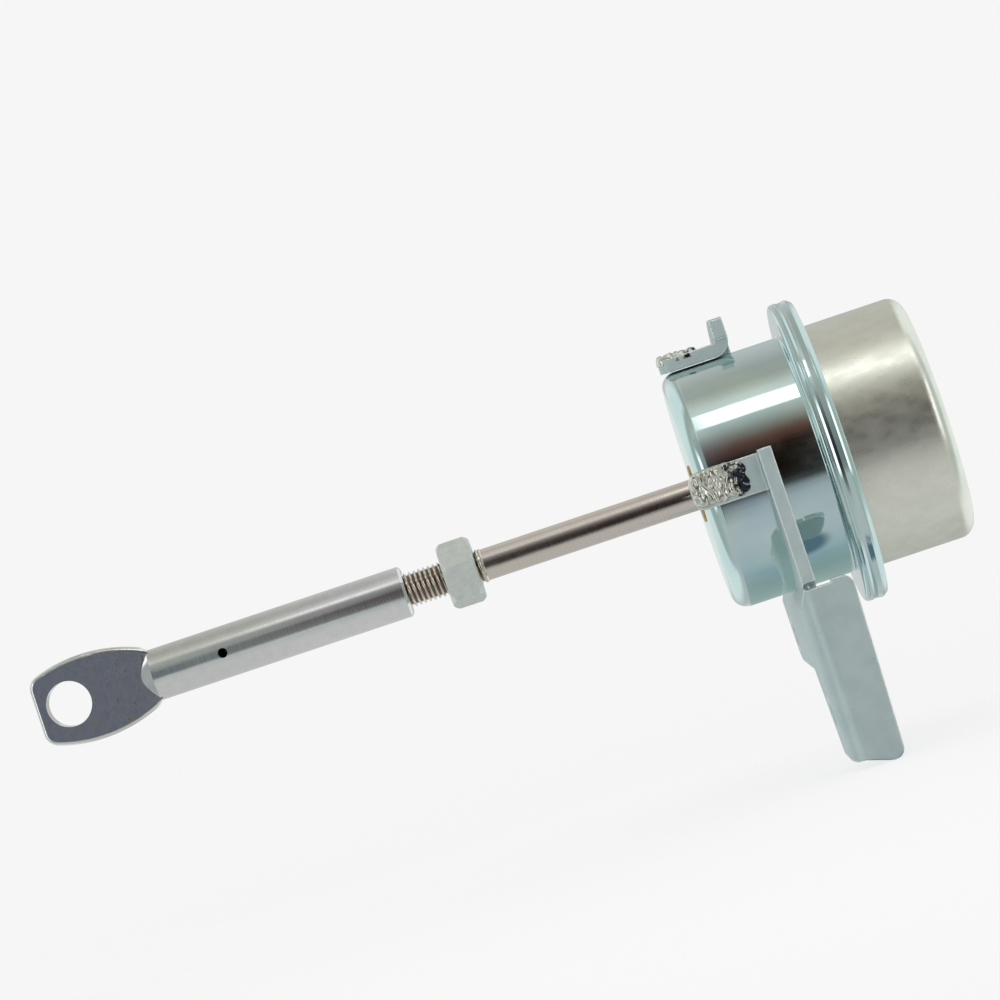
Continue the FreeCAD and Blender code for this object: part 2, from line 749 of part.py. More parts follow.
def make_bracket():
    """C-shaped plate round the front can, with three welded tabs, an ear and an angled leg."""
    body = new_body("bracket")
    near = -arm_reach
    leg_inside = near + bend_outer
    ring_inside = root(tab_inside * tab_inside - arm_end * arm_end)
    ring_outside = root(arm_reach * arm_reach - arm_end * arm_end)
    diagonal = tab_inside * math.sqrt(0.5)
    flange_foot = leg_flange - leg_taper
    sketch = sketch_on(body, "YZ_Plane", out=-joggle)
    draw_loop(
        sketch,
        [
            line(near, arm_end),
            line(near, -leg_flange_top),
            line(leg_inside, -leg_flange_top),
            line(leg_inside, -leg_tip),
            line(near + leg_tip_width, -leg_tip),
            line(near + leg_root_width, -ear_bottom),
            line(ear_reach, -ear_bottom),
            line(ear_reach, -ear_top),
            line(arm_reach * cosine(ear_angle), -arm_reach * sine(ear_angle)),
            arc(-arm_end, ring_outside, 0, 0, 1),
            line(-arm_end, ring_inside),
            arc(diagonal, -diagonal, 0, 0, -1),
            arc(-ring_inside, arm_end, 0, 0, -1),
        ],
    )
    padded(body, sketch, bracket_sheet + joggle)
    # The lower plate is stepped forward: what lies behind the step goes, then what lies before it.
    sketch = sketch_on(body, "XZ_Plane")
    draw_loop(
        sketch,
        [
            line(plate_low, -leg_tip - beyond),
            line(bracket_sheet + beyond, -leg_tip - beyond),
            line(bracket_sheet + beyond, -joggle_top),
            line(bracket_sheet, -joggle_top),
            line(plate_low, -joggle_bottom),
        ],
    )
    pocketed(body, sketch, symmetric=True)
    sketch = sketch_on(body, "XY_Plane", out=-leg_flange_top)
    draw_loop(
        sketch,
        [
            line(-joggle, leg_inside),
            arc(bend_outer - joggle, near, bend_outer - joggle, leg_inside, 1),
            line(leg_flange, near),
            line(leg_flange, near + bracket_sheet),
            line(bend_outer - joggle, near + bracket_sheet),
            arc(plate_low, leg_inside, bend_outer - joggle, leg_inside, -1),
        ],
    )
    padded(body, sketch, leg_tip + leg_slope - leg_flange_top, backwards=True)
    sketch = sketch_on(body, "XZ_Plane")
    draw_loop(
        sketch,
        [
            line(-joggle - beyond, arm_reach + beyond),
            line(-joggle - beyond, -joggle_bottom),
            line(-joggle, -joggle_bottom),
            line(0, -joggle_top),
            line(0, arm_reach + beyond),
        ],
    )
    pocketed(body, sketch, symmetric=True)
    for _, turn, _ in tabs():
        sketch = sketch_on(body, "XY_Plane", turn)
        draw_loop(
            sketch,
            [
                line(-bend_inner, -tab_inside + beyond),
                line(-bend_inner, -tab_outside - bend_inner),
                line(beyond, -tab_outside - bend_inner),
                line(beyond, -tab_inside + beyond),
            ],
        )
        pocketed(body, sketch, tab_width + 2 * tab_relief, symmetric=True)
    for _, turn, reach in tabs():
        sketch = sketch_on(body, "XY_Plane", turn)
        draw_loop(sketch, tab_outline(reach))
        padded(body, sketch, tab_width, symmetric=True)
    sketch = sketch_on(body, "XZ_Plane")
    draw_loop(
        sketch,
        [
            line(-joggle - beyond, -leg_tip - leg_slope - beyond),
            line(leg_flange + beyond, -leg_tip - leg_slope - beyond),
            line(leg_flange + beyond, -leg_flange_top),
            line(leg_flange, -leg_flange_top),
            line(flange_foot, -leg_tip - leg_slope),
            line(plate_low, -leg_tip),
            line(leg_foot - joggle, -leg_tip),
            arc(-joggle, leg_foot - leg_tip, leg_foot - joggle, leg_foot - leg_tip, -1),
            line(-joggle - beyond, leg_foot - leg_tip),
        ],
    )
    pocketed(body, sketch, backwards=True)
    sketch = sketch_on(body, "YZ_Plane")
    draw_circle(sketch, upper_bolt_out, -upper_bolt_down, bolt_radius)
    draw_circle(sketch, near + lower_bolt_in, -lower_bolt_down, bolt_radius)
    pocketed(body, sketch, symmetric=True)
    sketch = sketch_on(body, "XZ_Plane", out=arm_reach - bracket_sheet)
    notch_top = relief_radius - leg_flange_top
    notch_bottom = -leg_flange_top - relief_radius
    notch_front = bracket_sheet - relief_length
    draw_loop(
        sketch,
        [
            line(beyond, notch_bottom),
            line(beyond, notch_top),
            line(notch_front, notch_top),
            arc(notch_front, notch_bottom, notch_front, -leg_flange_top, 1),
        ],
    )
    pocketed(body, sketch, 2 * bracket_sheet, backwards=True)

    def ear_edges(edge):
        along = edge.BoundBox.XLength > bracket_sheet.value - 0.01 and len(edge.Vertexes) == 2
        place = edge.CenterOfMass
        return along and abs(place.y - ear_reach.value) < 0.01

    rounded(body, ear_corner, ear_edges)

    def leg_edges(edge):
        box = edge.BoundBox
        place = edge.CenterOfMass
        flange_corner = box.YLength > bracket_sheet.value - 0.01 and box.XLength < 0.01
        from_corner = min(abs(place.x - leg_flange.value), abs(place.x - flange_foot.value))
        flange_corner = flange_corner and from_corner < 0.01
        tip_corner = box.XLength > bracket_sheet.value - 0.01 and box.ZLength < 0.01
        tip_corner = tip_corner and abs(place.y - near.value - leg_tip_width.value) < 0.01
        return (flange_corner or tip_corner) and box.DiagonalLength < 2 * bracket_sheet.value

    rounded(body, leg_corner, leg_edges)

    def tab_corners(edge):
        box = edge.BoundBox
        place = edge.CenterOfMass
        off_axis = math.hypot(place.y, place.z)
        at_end = min(abs(place.x + tab_reach.value), abs(place.x + top_tab_reach.value)) < 0.01
        return at_end and box.DiagonalLength < 1.1 * bracket_sheet.value and off_axis > tab_inside.value

    rounded(body, tab_corner, tab_corners)


def make_tab_weld(label, turn, reach):
    """Rippled weld bead over one tab: a row of flattened lumps, one beside the other."""
    half_width = tab_width / 2 - weld_margin
    lumps = []
    room = reach - weld_margin - bend_inner - weld_length
    count = 1 + int(room.value / weld_pitch.value)
    for i in range(count):
        lump = doc.addObject("Part::Ellipsoid", f"{label}_lump{i + 1}")
        along = -reach + weld_margin + weld_length / 2 + i * weld_pitch
        # Radius1 is the polar one, along the lump's own Z; the placement turns that to -Y.
        for name, dim in (("Radius1", weld_height), ("Radius2", weld_length / 2), ("Radius3", half_width)):
            lump.setExpression(name, dim.text)
        lump.Placement = Placement(Vector(along.value, -tab_outside.value, 0), Rotation(Vector(1, 0, 0), 90))
        lump.setExpression("Placement.Base.x", along.text)
        lump.setExpression("Placement.Base.y", (-tab_outside).text)
        lumps.append(lump)
    bead = doc.addObject("Part::MultiFuse", label + "_bead")
    bead.Shapes = lumps
    below = doc.addObject("Part::Box", label + "_below")
    width = 2 * tab_width
    for name, dim in (("Length", reach), ("Width", 2 * weld_height), ("Height", width)):
        below.setExpression(name, dim.text)
    below.setExpression("Placement.Base.x", (-reach).text)
    below.setExpression("Placement.Base.y", (-tab_outside).text)
    below.setExpression("Placement.Base.z", (-width / 2).text)
    weld = doc.addObject("Part::Cut", label)
    weld.Base = bead
    weld.Tool = below
    weld.Label = label
    weld.Placement = Placement(Vector(0, 0, 0), Rotation(Vector(1, 0, 0), turn))
    SUBPARTS.append(weld)


def make_hose_nipple():
    """Steel tube with a hose bead, standing out of the rear can's far side."""
    body = new_body("hose_nipple")
    inner_end = rear_radius - can_wall - nipple_stub
    bead_start = nipple_reach - nipple_bead_length
    bead_radius = nipple_radius + nipple_bead
    turned(
        body,
        [
            line(nipple_bore, inner_end),
            line(nipple_radius, inner_end),
            line(nipple_radius, bead_start),
            line(bead_radius, bead_start + nipple_bead),
            line(bead_radius, nipple_reach - 3 * nipple_bead),
            line(nipple_radius - nipple_taper, nipple_reach),
            line(nipple_bore, nipple_reach),
        ],
        axis="V_Axis",
    )
    body.setExpression("Placement.Base.x", nipple_place.text)


def make_nipple_braze():
    """Brazed fillet between the nipple's tube and the round wall of the rear can."""
    cone = doc.addObject("Part::Cone", "braze_cone")
    top = rear_radius + braze_size
    foot = rear_radius - can_wall
    for name, dim in (
        ("Radius1", nipple_radius + top - foot),
        ("Radius2", nipple_radius + fine_gap),
        ("Height", top - foot),
    ):
        cone.setExpression(name, dim.text)
    cone.Placement = Placement(Vector(nipple_place.value, foot.value, 0), Rotation(Vector(1, 0, 0), -90))
    cone.setExpression("Placement.Base.x", nipple_place.text)
    cone.setExpression("Placement.Base.y", foot.text)
    can = doc.addObject("Part::Cylinder", "braze_can_side")
    can.setExpression("Radius", rear_radius.text)
    can.setExpression("Height", rear_reach.text)
    can.Placement = Placement(Vector(0, 0, 0), Rotation(Vector(0, 1, 0), 90))
    pipe = doc.addObject("Part::Cylinder", "braze_tube_side")
    pipe.setExpression("Radius", nipple_radius.text)
    pipe.setExpression("Height", (2 * top).text)
    pipe.Placement = Placement(Vector(nipple_place.value, 0, 0), Rotation(Vector(1, 0, 0), -90))
    pipe.setExpression("Placement.Base.x", nipple_place.text)
    outside = doc.addObject("Part::Cut", "braze_outside_can")
    outside.Base = cone
    outside.Tool = can
    ring = doc.addObject("Part::Cut", "nipple_braze")
    ring.Base = outside
    ring.Tool = pipe
    ring.Label = "nipple_braze"
    SUBPARTS.append(ring)


def check_and_write():
    """Stops on any failed object, then writes one STEP file for each sub-part."""
    doc.recompute()
    for item in doc.Objects:
        if {"Invalid", "Error"} & set(item.State):
            raise RuntimeError(f"{item.Label} failed: {item.State}")
    os.makedirs("parts", exist_ok=True)
    for part in SUBPARTS:
        if part.Shape.isNull() or not part.Shape.isValid() or not part.Shape.Solids:
            raise RuntimeError(f"{part.Label} has no valid shape")
    for part in SUBPARTS:
        part.Shape.exportStep(f"parts/{part.Label}.step")
        box = part.Shape.BoundBox
        print(
            f"{part.Label}: {len(part.Shape.Solids)} solid, {part.Shape.Volume:.1f} mm3,"
            f" x {box.XMin:.2f} to {box.XMax:.2f}, y {box.YMin:.2f} to {box.YMax:.2f},"
            f" z {box.ZMin:.2f} to {box.ZMax:.2f}"
        )


make_front_can()
make_rear_can()
make_diaphragm()
make_piston()
make_plates()
make_rod()
make_rod_bush()
make_rod_seal()
make_spring_seat()
make_return_spring()
make_lock_nut()
make_rod_end()
make_bracket()
for weld in tabs():
    make_tab_weld(*weld)
make_hose_nipple()
make_nipple_braze()
check_and_write()
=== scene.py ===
# %% [markdown]
# # A turbo actuator in zinc plate and polished steel
#
# The object is a wastegate actuator: two drawn steel cans crimped together, a push rod with
# a lock nut and a forged rod end, and a welded bracket. Its pieces come from the CAD model in
# metres and in their true places, so this file makes what a CAD solid doesn't have: the real
# thread, the weld beads, the soft sheared edges and the finishes. X is the axis of the rod and
# the cans, with the rod towards -X, and Z is up.

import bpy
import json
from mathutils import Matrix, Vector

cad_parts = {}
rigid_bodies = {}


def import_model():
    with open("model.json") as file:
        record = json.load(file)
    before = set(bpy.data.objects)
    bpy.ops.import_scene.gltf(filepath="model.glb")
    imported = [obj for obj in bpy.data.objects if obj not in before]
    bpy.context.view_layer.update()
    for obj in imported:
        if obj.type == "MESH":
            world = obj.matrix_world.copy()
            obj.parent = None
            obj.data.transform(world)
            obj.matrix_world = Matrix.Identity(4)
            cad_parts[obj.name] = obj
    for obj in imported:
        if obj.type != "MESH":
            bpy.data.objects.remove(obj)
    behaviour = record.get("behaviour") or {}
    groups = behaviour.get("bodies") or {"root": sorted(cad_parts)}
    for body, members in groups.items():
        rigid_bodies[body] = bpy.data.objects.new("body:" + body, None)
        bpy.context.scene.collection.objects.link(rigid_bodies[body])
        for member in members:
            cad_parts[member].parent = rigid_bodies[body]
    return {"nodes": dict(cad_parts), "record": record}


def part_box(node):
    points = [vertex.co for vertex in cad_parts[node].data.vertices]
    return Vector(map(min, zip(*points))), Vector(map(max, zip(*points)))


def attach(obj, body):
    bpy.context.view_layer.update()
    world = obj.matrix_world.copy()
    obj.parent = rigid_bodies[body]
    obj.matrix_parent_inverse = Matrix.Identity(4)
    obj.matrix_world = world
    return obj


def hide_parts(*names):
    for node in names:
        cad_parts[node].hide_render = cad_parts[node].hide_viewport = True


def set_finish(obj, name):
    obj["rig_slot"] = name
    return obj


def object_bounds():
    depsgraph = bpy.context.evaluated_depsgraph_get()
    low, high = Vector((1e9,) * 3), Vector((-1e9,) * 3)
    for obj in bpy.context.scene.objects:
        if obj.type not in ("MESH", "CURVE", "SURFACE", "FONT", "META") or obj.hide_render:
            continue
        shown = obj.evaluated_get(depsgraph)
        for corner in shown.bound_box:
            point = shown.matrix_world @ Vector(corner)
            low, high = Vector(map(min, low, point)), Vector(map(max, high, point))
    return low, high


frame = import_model()
cad_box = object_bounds()
nodes = frame["nodes"]
print("CAD box:", cad_box)

# %% Names used throughout
import json
import math

import bmesh
import bpy
from mathutils import Matrix, Vector, noise

MM = 0.001
scene = bpy.context.scene

# %% [markdown]
# ## Camera
#
# The photograph was taken from the side, from about three quarters of a metre with a long
# lens, and the actuator stands in it at a slant, on its eye and the leg of its bracket. Here
# the part keeps its axes, so the camera is the one that rolls. Its place, its aim and its lens
# come from matching about twenty corners of the model to the picture.

# %% Camera
camera_place = Vector((-31.9, -767.9, 11.0)) * MM
yaw, pitch, roll = (math.radians(a) for a in (-1.05, -0.05, -18.5))
ahead = Vector((math.sin(yaw) * math.cos(pitch), math.cos(yaw) * math.cos(pitch), math.sin(pitch)))
level = Vector((math.cos(yaw), -math.sin(yaw), 0))
above = level.cross(ahead)
right = math.cos(roll) * level + math.sin(roll) * above
up = math.cos(roll) * above - math.sin(roll) * level

camera_data = bpy.data.cameras.new("camera")
camera_data.sensor_width = 36
camera_data.lens = 151.8
camera_data.clip_start = 0.01
camera = bpy.data.objects.new("camera", camera_data)
camera.matrix_world = Matrix.Translation(camera_place) @ Matrix((right, up, -ahead)).transposed().to_4x4()
scene.collection.objects.link(camera)
scene.camera = camera
print("camera:", [round(c, 4) for c in camera_place], "lens", camera_data.lens)

# %% [markdown]
# ## Colours and nodes
#
# Colours are written as the hex values that a colour picker gives on a screen. Shaders count
# light linearly, so one function turns the first into the second. A second function adds a
# shader node, sets its sockets and wires it up, which keeps each material readable from top to
# bottom. Four short ones wrap the nodes that every finish needs: fade, blend, times and plus.

# %% Helpers for colours and nodes
scene.view_settings.view_transform = "Standard"
scene.view_settings.look = "None"


def linear(hex_colour, gain=1.0):
    """Linear RGBA for a colour given as '#rrggbb'."""
    parts = [int(hex_colour[i : i + 2], 16) / 255 for i in (1, 3, 5)]
    parts = [p / 12.92 if p <= 0.04045 else ((p + 0.055) / 1.055) ** 2.4 for p in parts]
    return [p * gain for p in parts] + [1.0]


def add(tree, kind, sockets=None, **settings):
    """Adds a node; a socket's value is a constant, or another node's output to wire to it."""
    node = tree.nodes.new(kind)
    for name, value in settings.items():
        setattr(node, name, value)
    for name, value in (sockets or {}).items():
        if isinstance(value, bpy.types.NodeSocket):
            tree.links.new(value, node.inputs[name])
        else:
            node.inputs[name].default_value = value
    return node


def fade(tree, value, start, end):
    """0 before start and 1 past end, with a soft change between them."""
    sockets = {"Value": value, "From Min": start, "From Max": end}
    return add(tree, "ShaderNodeMapRange", sockets, interpolation_type="SMOOTHSTEP").outputs[0]


def blend(tree, factor, first, second):
    """The first colour where the factor is 0, the second where it is 1."""
    sockets = {"Factor": factor, "A": first, "B": second}
    return add(tree, "ShaderNodeMix", sockets, data_type="RGBA").outputs["Result"]


def times(tree, first, second):
    """Product of two values."""
    return add(tree, "ShaderNodeMath", {0: first, 1: second}, operation="MULTIPLY").outputs[0]


def plus(tree, first, second):
    """Sum of two values."""
    return add(tree, "ShaderNodeMath", {0: first, 1: second}, operation="ADD").outputs[0]


# %% [markdown]
# ## Surroundings
#
# Metal shows what stands around it more than its own colour. The metal in the photograph
# mirrors a bright strip light above the camera, a dark room behind the camera, two windows, and
# the white table below. A light tent is the usual way to set such a scene up, so the world
# paints one: soft bands that run along the actuator. Each band is placed by its angle round the
# X axis: 0 is towards the camera, 90 up, -90 down. Each of the long round pieces sees another part
# of the room, from the sleeve on the left to the rear can on the right, so each has its own bands.

# %% World with the bands of a light tent
world = bpy.data.worlds.new("light_tent")
scene.world = world
world.use_nodes = True
tree = world.node_tree
tree.nodes.clear()
# Each stop is an angle in degrees and the colour that the room has there.
bands = {
    "sleeve end": [
        (-180, "#c8c8c8"), (-40, "#c6c8c6"), (-30, "#c0c4c2"), (-21, "#bcc4c0"),
        (-15, "#8e9692"), (-9, "#808886"), (4, "#828c88"), (17, "#8a9490"), (31, "#9ea6a2"),
        (45, "#aeb0a8"), (60, "#c6c8be"), (76, "#b8b8b0"), (94, "#acaea4"), (120, "#b8b8b0"),
        (150, "#c4c4be"), (180, "#c8c8c8"),
    ],
    "sleeve": [
        (-180, "#cecece"), (-50, "#cccccc"), (-38, "#c0c8c4"), (-26, "#bcc2c0"),
        (-20, "#909290"), (-14, "#7a7c7c"), (0, "#6e6a6a"), (13, "#64585c"), (22, "#807c7c"),
        (30, "#8c8a8a"), (42, "#989898"), (48, "#c8c8c8"), (52, "#ffffff"), (60, "#ffffff"),
        (65, "#d8d8d8"), (72, "#cacaca"), (88, "#b6b6b4"), (108, "#b8b8b6"), (140, "#c8c8c6"),
        (180, "#cecece"),
    ],
    "rod": [
        (-180, "#e2eeeb"), (-172, "#dce8e5"), (-150, "#c8c8c8"), (-55, "#c8c8c8"),
        (-38, "#bebebe"), (-30, "#949292"), (-24, "#706e6e"), (-17, "#484646"),
        (-11, "#343232"), (3, "#343232"), (12, "#444242"), (20, "#545252"), (31, "#787676"),
        (40, "#969494"), (47, "#b4b4b4"), (54, "#d2d2d2"), (62, "#dedede"), (78, "#d8d8d6"),
        (97, "#c4c4c0"), (121, "#d4d4d0"), (150, "#cacac6"), (172, "#dce8e5"), (180, "#e2eeeb"),
    ],
    "front can": [
        (-180, "#a8b8b2"), (-145, "#a2b4ae"), (-118, "#98aaa8"), (-100, "#9aaeb4"),
        (-84, "#b8c2c4"), (-60, "#c8caca"), (-40, "#c4c6c8"), (-28, "#b6babc"),
        (-21, "#9a9ea2"), (-16, "#444446"), (-10, "#221e1e"), (2, "#1a100a"), (14, "#1c110b"),
        (21, "#2a1712"), (29, "#5e3c34"), (35, "#745850"), (42, "#8e867e"), (50, "#b2b2aa"),
        (60, "#d4d6d2"), (72, "#ecebe2"), (80, "#e6e4da"), (88, "#c8c6bc"), (96, "#b8b4a8"),
        (112, "#b8b4ae"), (134, "#ccc8c4"), (155, "#cacccc"), (180, "#a8b8b2"),
    ],
    "rear can": [
        (-180, "#b8b8b4"), (-150, "#b2b2ae"), (-106, "#c0c0bc"), (-88, "#cacac6"),
        (-50, "#c8c8c4"), (-40, "#c4c4c0"), (-28, "#b4b4b0"), (-19, "#9a9a96"),
        (-10, "#74746e"), (5, "#66645e"), (18, "#746c66"), (28, "#7c766e"), (36, "#8c8c80"),
        (45, "#bcbeb4"), (54, "#ccccc4"), (80, "#cacac2"), (92, "#b6b6ae"), (106, "#b0b0a8"),
        (155, "#b8b8b2"), (180, "#b8b8b4"),
    ],
}
place = add(tree, "ShaderNodeTexCoord")
axes = add(tree, "ShaderNodeSeparateXYZ", {0: place.outputs["Generated"]})
towards = add(tree, "ShaderNodeMath", {0: axes.outputs["Y"], 1: -1.0}, operation="MULTIPLY")
angle = add(tree, "ShaderNodeMath", {0: axes.outputs["Z"], 1: towards.outputs[0]}, operation="ARCTAN2")
full_turn = {"Value": angle.outputs[0], "From Min": -math.pi, "From Max": math.pi}
turn = add(tree, "ShaderNodeMapRange", full_turn)


def band_ramp(name):
    """Colour output of a ramp that holds one of the lists."""
    ramp = add(tree, "ShaderNodeValToRGB", {0: turn.outputs[0]})
    stops = ramp.color_ramp.elements
    stops[0].color = linear(bands[name][0][1])
    stops[1].color = linear(bands[name][-1][1])
    for band_angle, colour in bands[name][1:-1]:
        stops.new((band_angle + 180) / 360).color = linear(colour)
    return ramp.outputs["Color"]


along = axes.outputs["X"]
# A piece at x metres mirrors directions whose X part is about (x + 0.032) / 0.768, because the
# camera stands 0.768 m away. Each list fades in between two such X parts.
starts = {
    "sleeve": (-0.1, -0.062),
    "rod": (-0.05, -0.036),
    "front can": (0.02, 0.029),
    "rear can": (0.0595, 0.064),
}
room = band_ramp("sleeve end")
for name, (left, right_end) in starts.items():
    room = blend(tree, fade(tree, along, left, right_end), room, band_ramp(name))
print("world bands:", {name: len(stops) for name, stops in bands.items()})

# %% [markdown]
# The eye, furthest to the left, mirrors a bluish doorway. The two windows stand left and right
# of the camera, about 41 degrees to the side, and give every rounded edge that turns away from
# the camera its bright line. Behind the object the sides are white paper.

# %% Doorway, windows and white sides
sideways = add(tree, "ShaderNodeMath", {0: along}, operation="ABSOLUTE").outputs[0]
in_front = fade(tree, towards.outputs[0], -0.15, 0.15)
ahead_only = fade(tree, towards.outputs[0], 0.95, 0.98)
doorway = times(tree, fade(tree, along, -0.108, -0.118), ahead_only)
room = blend(tree, doorway, room, linear("#5c6076"))
height = axes.outputs["Z"]
window_height = times(tree, fade(tree, height, -0.35, -0.2), fade(tree, height, 0.6, 0.4))
window = times(tree, fade(tree, sideways, 0.5, 0.58), fade(tree, sideways, 0.8, 0.72))
window = times(tree, times(tree, window, window_height), in_front)
far_side = fade(tree, sideways, 0.4, 0.8)
grey_side = blend(tree, far_side, room, linear("#b0bab6"))
lit_side = blend(tree, window, grey_side, linear("#ffffff", 1.6))
paper_side = blend(tree, fade(tree, sideways, 0.12, 0.4), room, linear("#eef4f2"))
surround = blend(tree, in_front, paper_side, lit_side)
background = add(tree, "ShaderNodeBackground", {"Color": surround, "Strength": 1.0})
add(tree, "ShaderNodeOutputWorld", {"Surface": background.outputs[0]})

# %% [markdown]
# Two area lights add what a painted world can't. The strip light casts the soft shadow and
# draws the highlight along the cans; it hangs to the right, so the rod doesn't mirror it. The
# fill light stands beside the camera and lights only dull surfaces such as the bracket; mirrors
# don't see it, so the room stays dark in them.

# %% Strip light and fill light


def area_light(name, middle, width, height, distance, angle, radiance):
    """A lamp that faces the origin from a given angle above the camera's side."""
    data = bpy.data.lights.new(name, "AREA")
    data.shape = "RECTANGLE"
    data.size = width
    data.size_y = height
    data.energy = radiance * math.pi * width * height
    lamp = bpy.data.objects.new(name, data)
    lamp.location = (middle, -distance * math.cos(angle), distance * math.sin(angle))
    lamp.rotation_euler = (math.radians(90) - angle, 0, 0)
    lamp.visible_camera = False
    scene.collection.objects.link(lamp)
    return lamp


area_light(
    "strip_light", middle=0.333, width=0.634, height=0.24, distance=0.9, angle=math.radians(65), radiance=1.15
)
fill = area_light(
    "fill_light", middle=0, width=0.7, height=0.5, distance=0.85, angle=math.radians(12), radiance=2.5
)
fill.visible_glossy = False

# %% [markdown]
# ## Floor and backdrop
#
# The actuator lies on seamless white in the photograph, so bright that only a trace of shadow
# is left. One bowl of paper does that from every side: a flat floor under the leg's tip that
# curves up into a wall. Near the object it takes shadows; further out it glows evenly, as
# overexposed paper does. Mirror rays pass through it, because the world's bands already hold
# the table that the metal should show.

# %% Paper bowl
floor_z = cad_box[0][2]


def bowl_profile():
    """Radius and height of the paper, from the middle of the floor to the top of the wall."""
    flat, bend, top = 2.0, 1.0, 3.0
    points = [(0.0, 0.0), (0.12, 0.0), (0.25, 0.0), (0.5, 0.0), (1.0, 0.0), (flat, 0.0)]
    for i in range(1, 13):
        a = math.radians(90) * i / 12
        points.append((flat + bend * math.sin(a), bend - bend * math.cos(a)))
    points.append((flat + bend, top))
    return points


def ring_faces(rings, around, closed=False):
    """Quads between neighbouring rings of points; closed joins the last ring to the first."""
    faces = []
    for j in range(rings if closed else rings - 1):
        here, after = j * around, (j + 1) % rings * around
        for i in range(around):
            k = (i + 1) % around
            faces.append((here + i, here + k, after + k, after + i))
    return faces


def turned_bowl(name, profile, segments):
    """Mesh made by turning (radius, height) points about Z."""
    verts = []
    for radius, height in profile:
        for i in range(segments):
            a = 2 * math.pi * i / segments
            verts.append((radius * math.cos(a), radius * math.sin(a), height))
    mesh = bpy.data.meshes.new(name)
    mesh.from_pydata(verts, [], ring_faces(len(profile), segments))
    mesh.validate()
    for polygon in mesh.polygons:
        polygon.use_smooth = True
    return mesh


paper = bpy.data.materials.new("paper_backdrop")
paper.use_nodes = True
tree = paper.node_tree
tree.nodes.clear()
spot = add(tree, "ShaderNodeNewGeometry")
on_floor = {0: spot.outputs["Position"], 1: (1, 1, 0)}
flat_spot = add(tree, "ShaderNodeVectorMath", on_floor, operation="MULTIPLY")
distance = add(tree, "ShaderNodeVectorMath", {0: flat_spot.outputs[0]}, operation="LENGTH")
far = add(
    tree,
    "ShaderNodeMapRange",
    {"Value": distance.outputs["Value"], "From Min": 0.08, "From Max": 0.45},
    interpolation_type="SMOOTHERSTEP",
)
fine_paper = {"Vector": spot.outputs["Position"], "Scale": 900.0, "Detail": 3.0}
fibres = add(tree, "ShaderNodeTexNoise", fine_paper)
tooth = add(tree, "ShaderNodeBump", {"Height": fibres.outputs["Fac"], "Strength": 0.02, "Distance": 0.0001})
lit = add(
    tree,
    "ShaderNodeBsdfPrincipled",
    {
        "Base Color": linear("#8d8d8d"),
        "Roughness": 0.9,
        "Specular IOR Level": 0.0,
        "Normal": tooth.outputs["Normal"],
        "Emission Color": linear("#ffffff"),
        "Emission Strength": 0.72,
    },
)
glow = add(tree, "ShaderNodeEmission", {"Color": linear("#f6f6f6"), "Strength": 1.0})
paper_mix = add(tree, "ShaderNodeMixShader", {"Fac": far.outputs[0]})
tree.links.new(lit.outputs[0], paper_mix.inputs[1])
tree.links.new(glow.outputs[0], paper_mix.inputs[2])
add(tree, "ShaderNodeOutputMaterial", {"Surface": paper_mix.outputs[0]})

bowl = bpy.data.objects.new("paper_bowl", turned_bowl("paper_bowl", bowl_profile(), 96))
bowl.location = (0, 0, floor_z)
bowl.data.materials.append(paper)
bowl.visible_glossy = False
bowl.visible_diffuse = False
bowl.visible_shadow = False
scene.collection.objects.link(bowl)
print("floor at", round(floor_z, 4))

# %% [markdown]
# ## Shadow under the front can
#
# The front can mirrors the table right below it, and there the table lies in the shadow of can
# and bracket: a soft blue-grey patch. Only mirror rays see this card, because the paper itself
# already shows its shadow to the camera.

# %% Shadow card
card_middle = Vector((4.5, -23.0)) * MM
card_half = Vector((15.0, 15.0)) * MM
card_z = floor_z + 0.2 * MM
card_mesh = bpy.data.meshes.new("shadow_card")
card_points = []
for i, j in [(-1, -1), (1, -1), (1, 1), (-1, 1)]:
    card_points.append((card_middle.x + i * card_half.x, card_middle.y + j * card_half.y, card_z))
card_mesh.from_pydata(card_points, [], [(0, 1, 2, 3)])
shade = bpy.data.materials.new("table_shadow")
shade.use_nodes = True
tree = shade.node_tree
tree.nodes.clear()
spot = add(tree, "ShaderNodeNewGeometry")
offset = add(
    tree,
    "ShaderNodeVectorMath",
    {0: spot.outputs["Position"], 1: (card_middle.x, card_middle.y, card_z)},
    operation="SUBTRACT",
)
squeezed = add(tree, "ShaderNodeVectorMath", {0: offset.outputs[0], 1: (2.2, 1, 1)}, operation="MULTIPLY")
near_middle = add(tree, "ShaderNodeVectorMath", {0: squeezed.outputs[0]}, operation="LENGTH")
weight = fade(tree, near_middle.outputs["Value"], 14.5 * MM, 8.0 * MM)
clear = add(tree, "ShaderNodeBsdfTransparent")
dark = add(tree, "ShaderNodeEmission", {"Color": linear("#5c7684"), "Strength": 1.0})
card_mix = add(tree, "ShaderNodeMixShader", {"Fac": weight})
tree.links.new(clear.outputs[0], card_mix.inputs[1])
tree.links.new(dark.outputs[0], card_mix.inputs[2])
add(tree, "ShaderNodeOutputMaterial", {"Surface": card_mix.outputs[0]})
card = bpy.data.objects.new("shadow_card", card_mesh)
card_mesh.materials.append(shade)
card.visible_camera = False
card.visible_diffuse = False
card.visible_shadow = False
scene.collection.objects.link(card)

# %% [markdown]
# ## Drawn cans
#
# A deep-drawn can is a surface of revolution, so its skin is an outline turned about X. The CAD
# solid's mesh is too coarse for a mirror: its small roundings break the long reflections up.
# So both cans get new skins of the same sizes, with every bend of the sheet as a true arc. The
# crimping rollers leave marks round the rim of the joint: a fine groove behind its front edge, and
# a shallow hollow between two crests. Both crests catch the light as thin lines.

# %% Sizes of the cans, in millimetres as in the CAD model


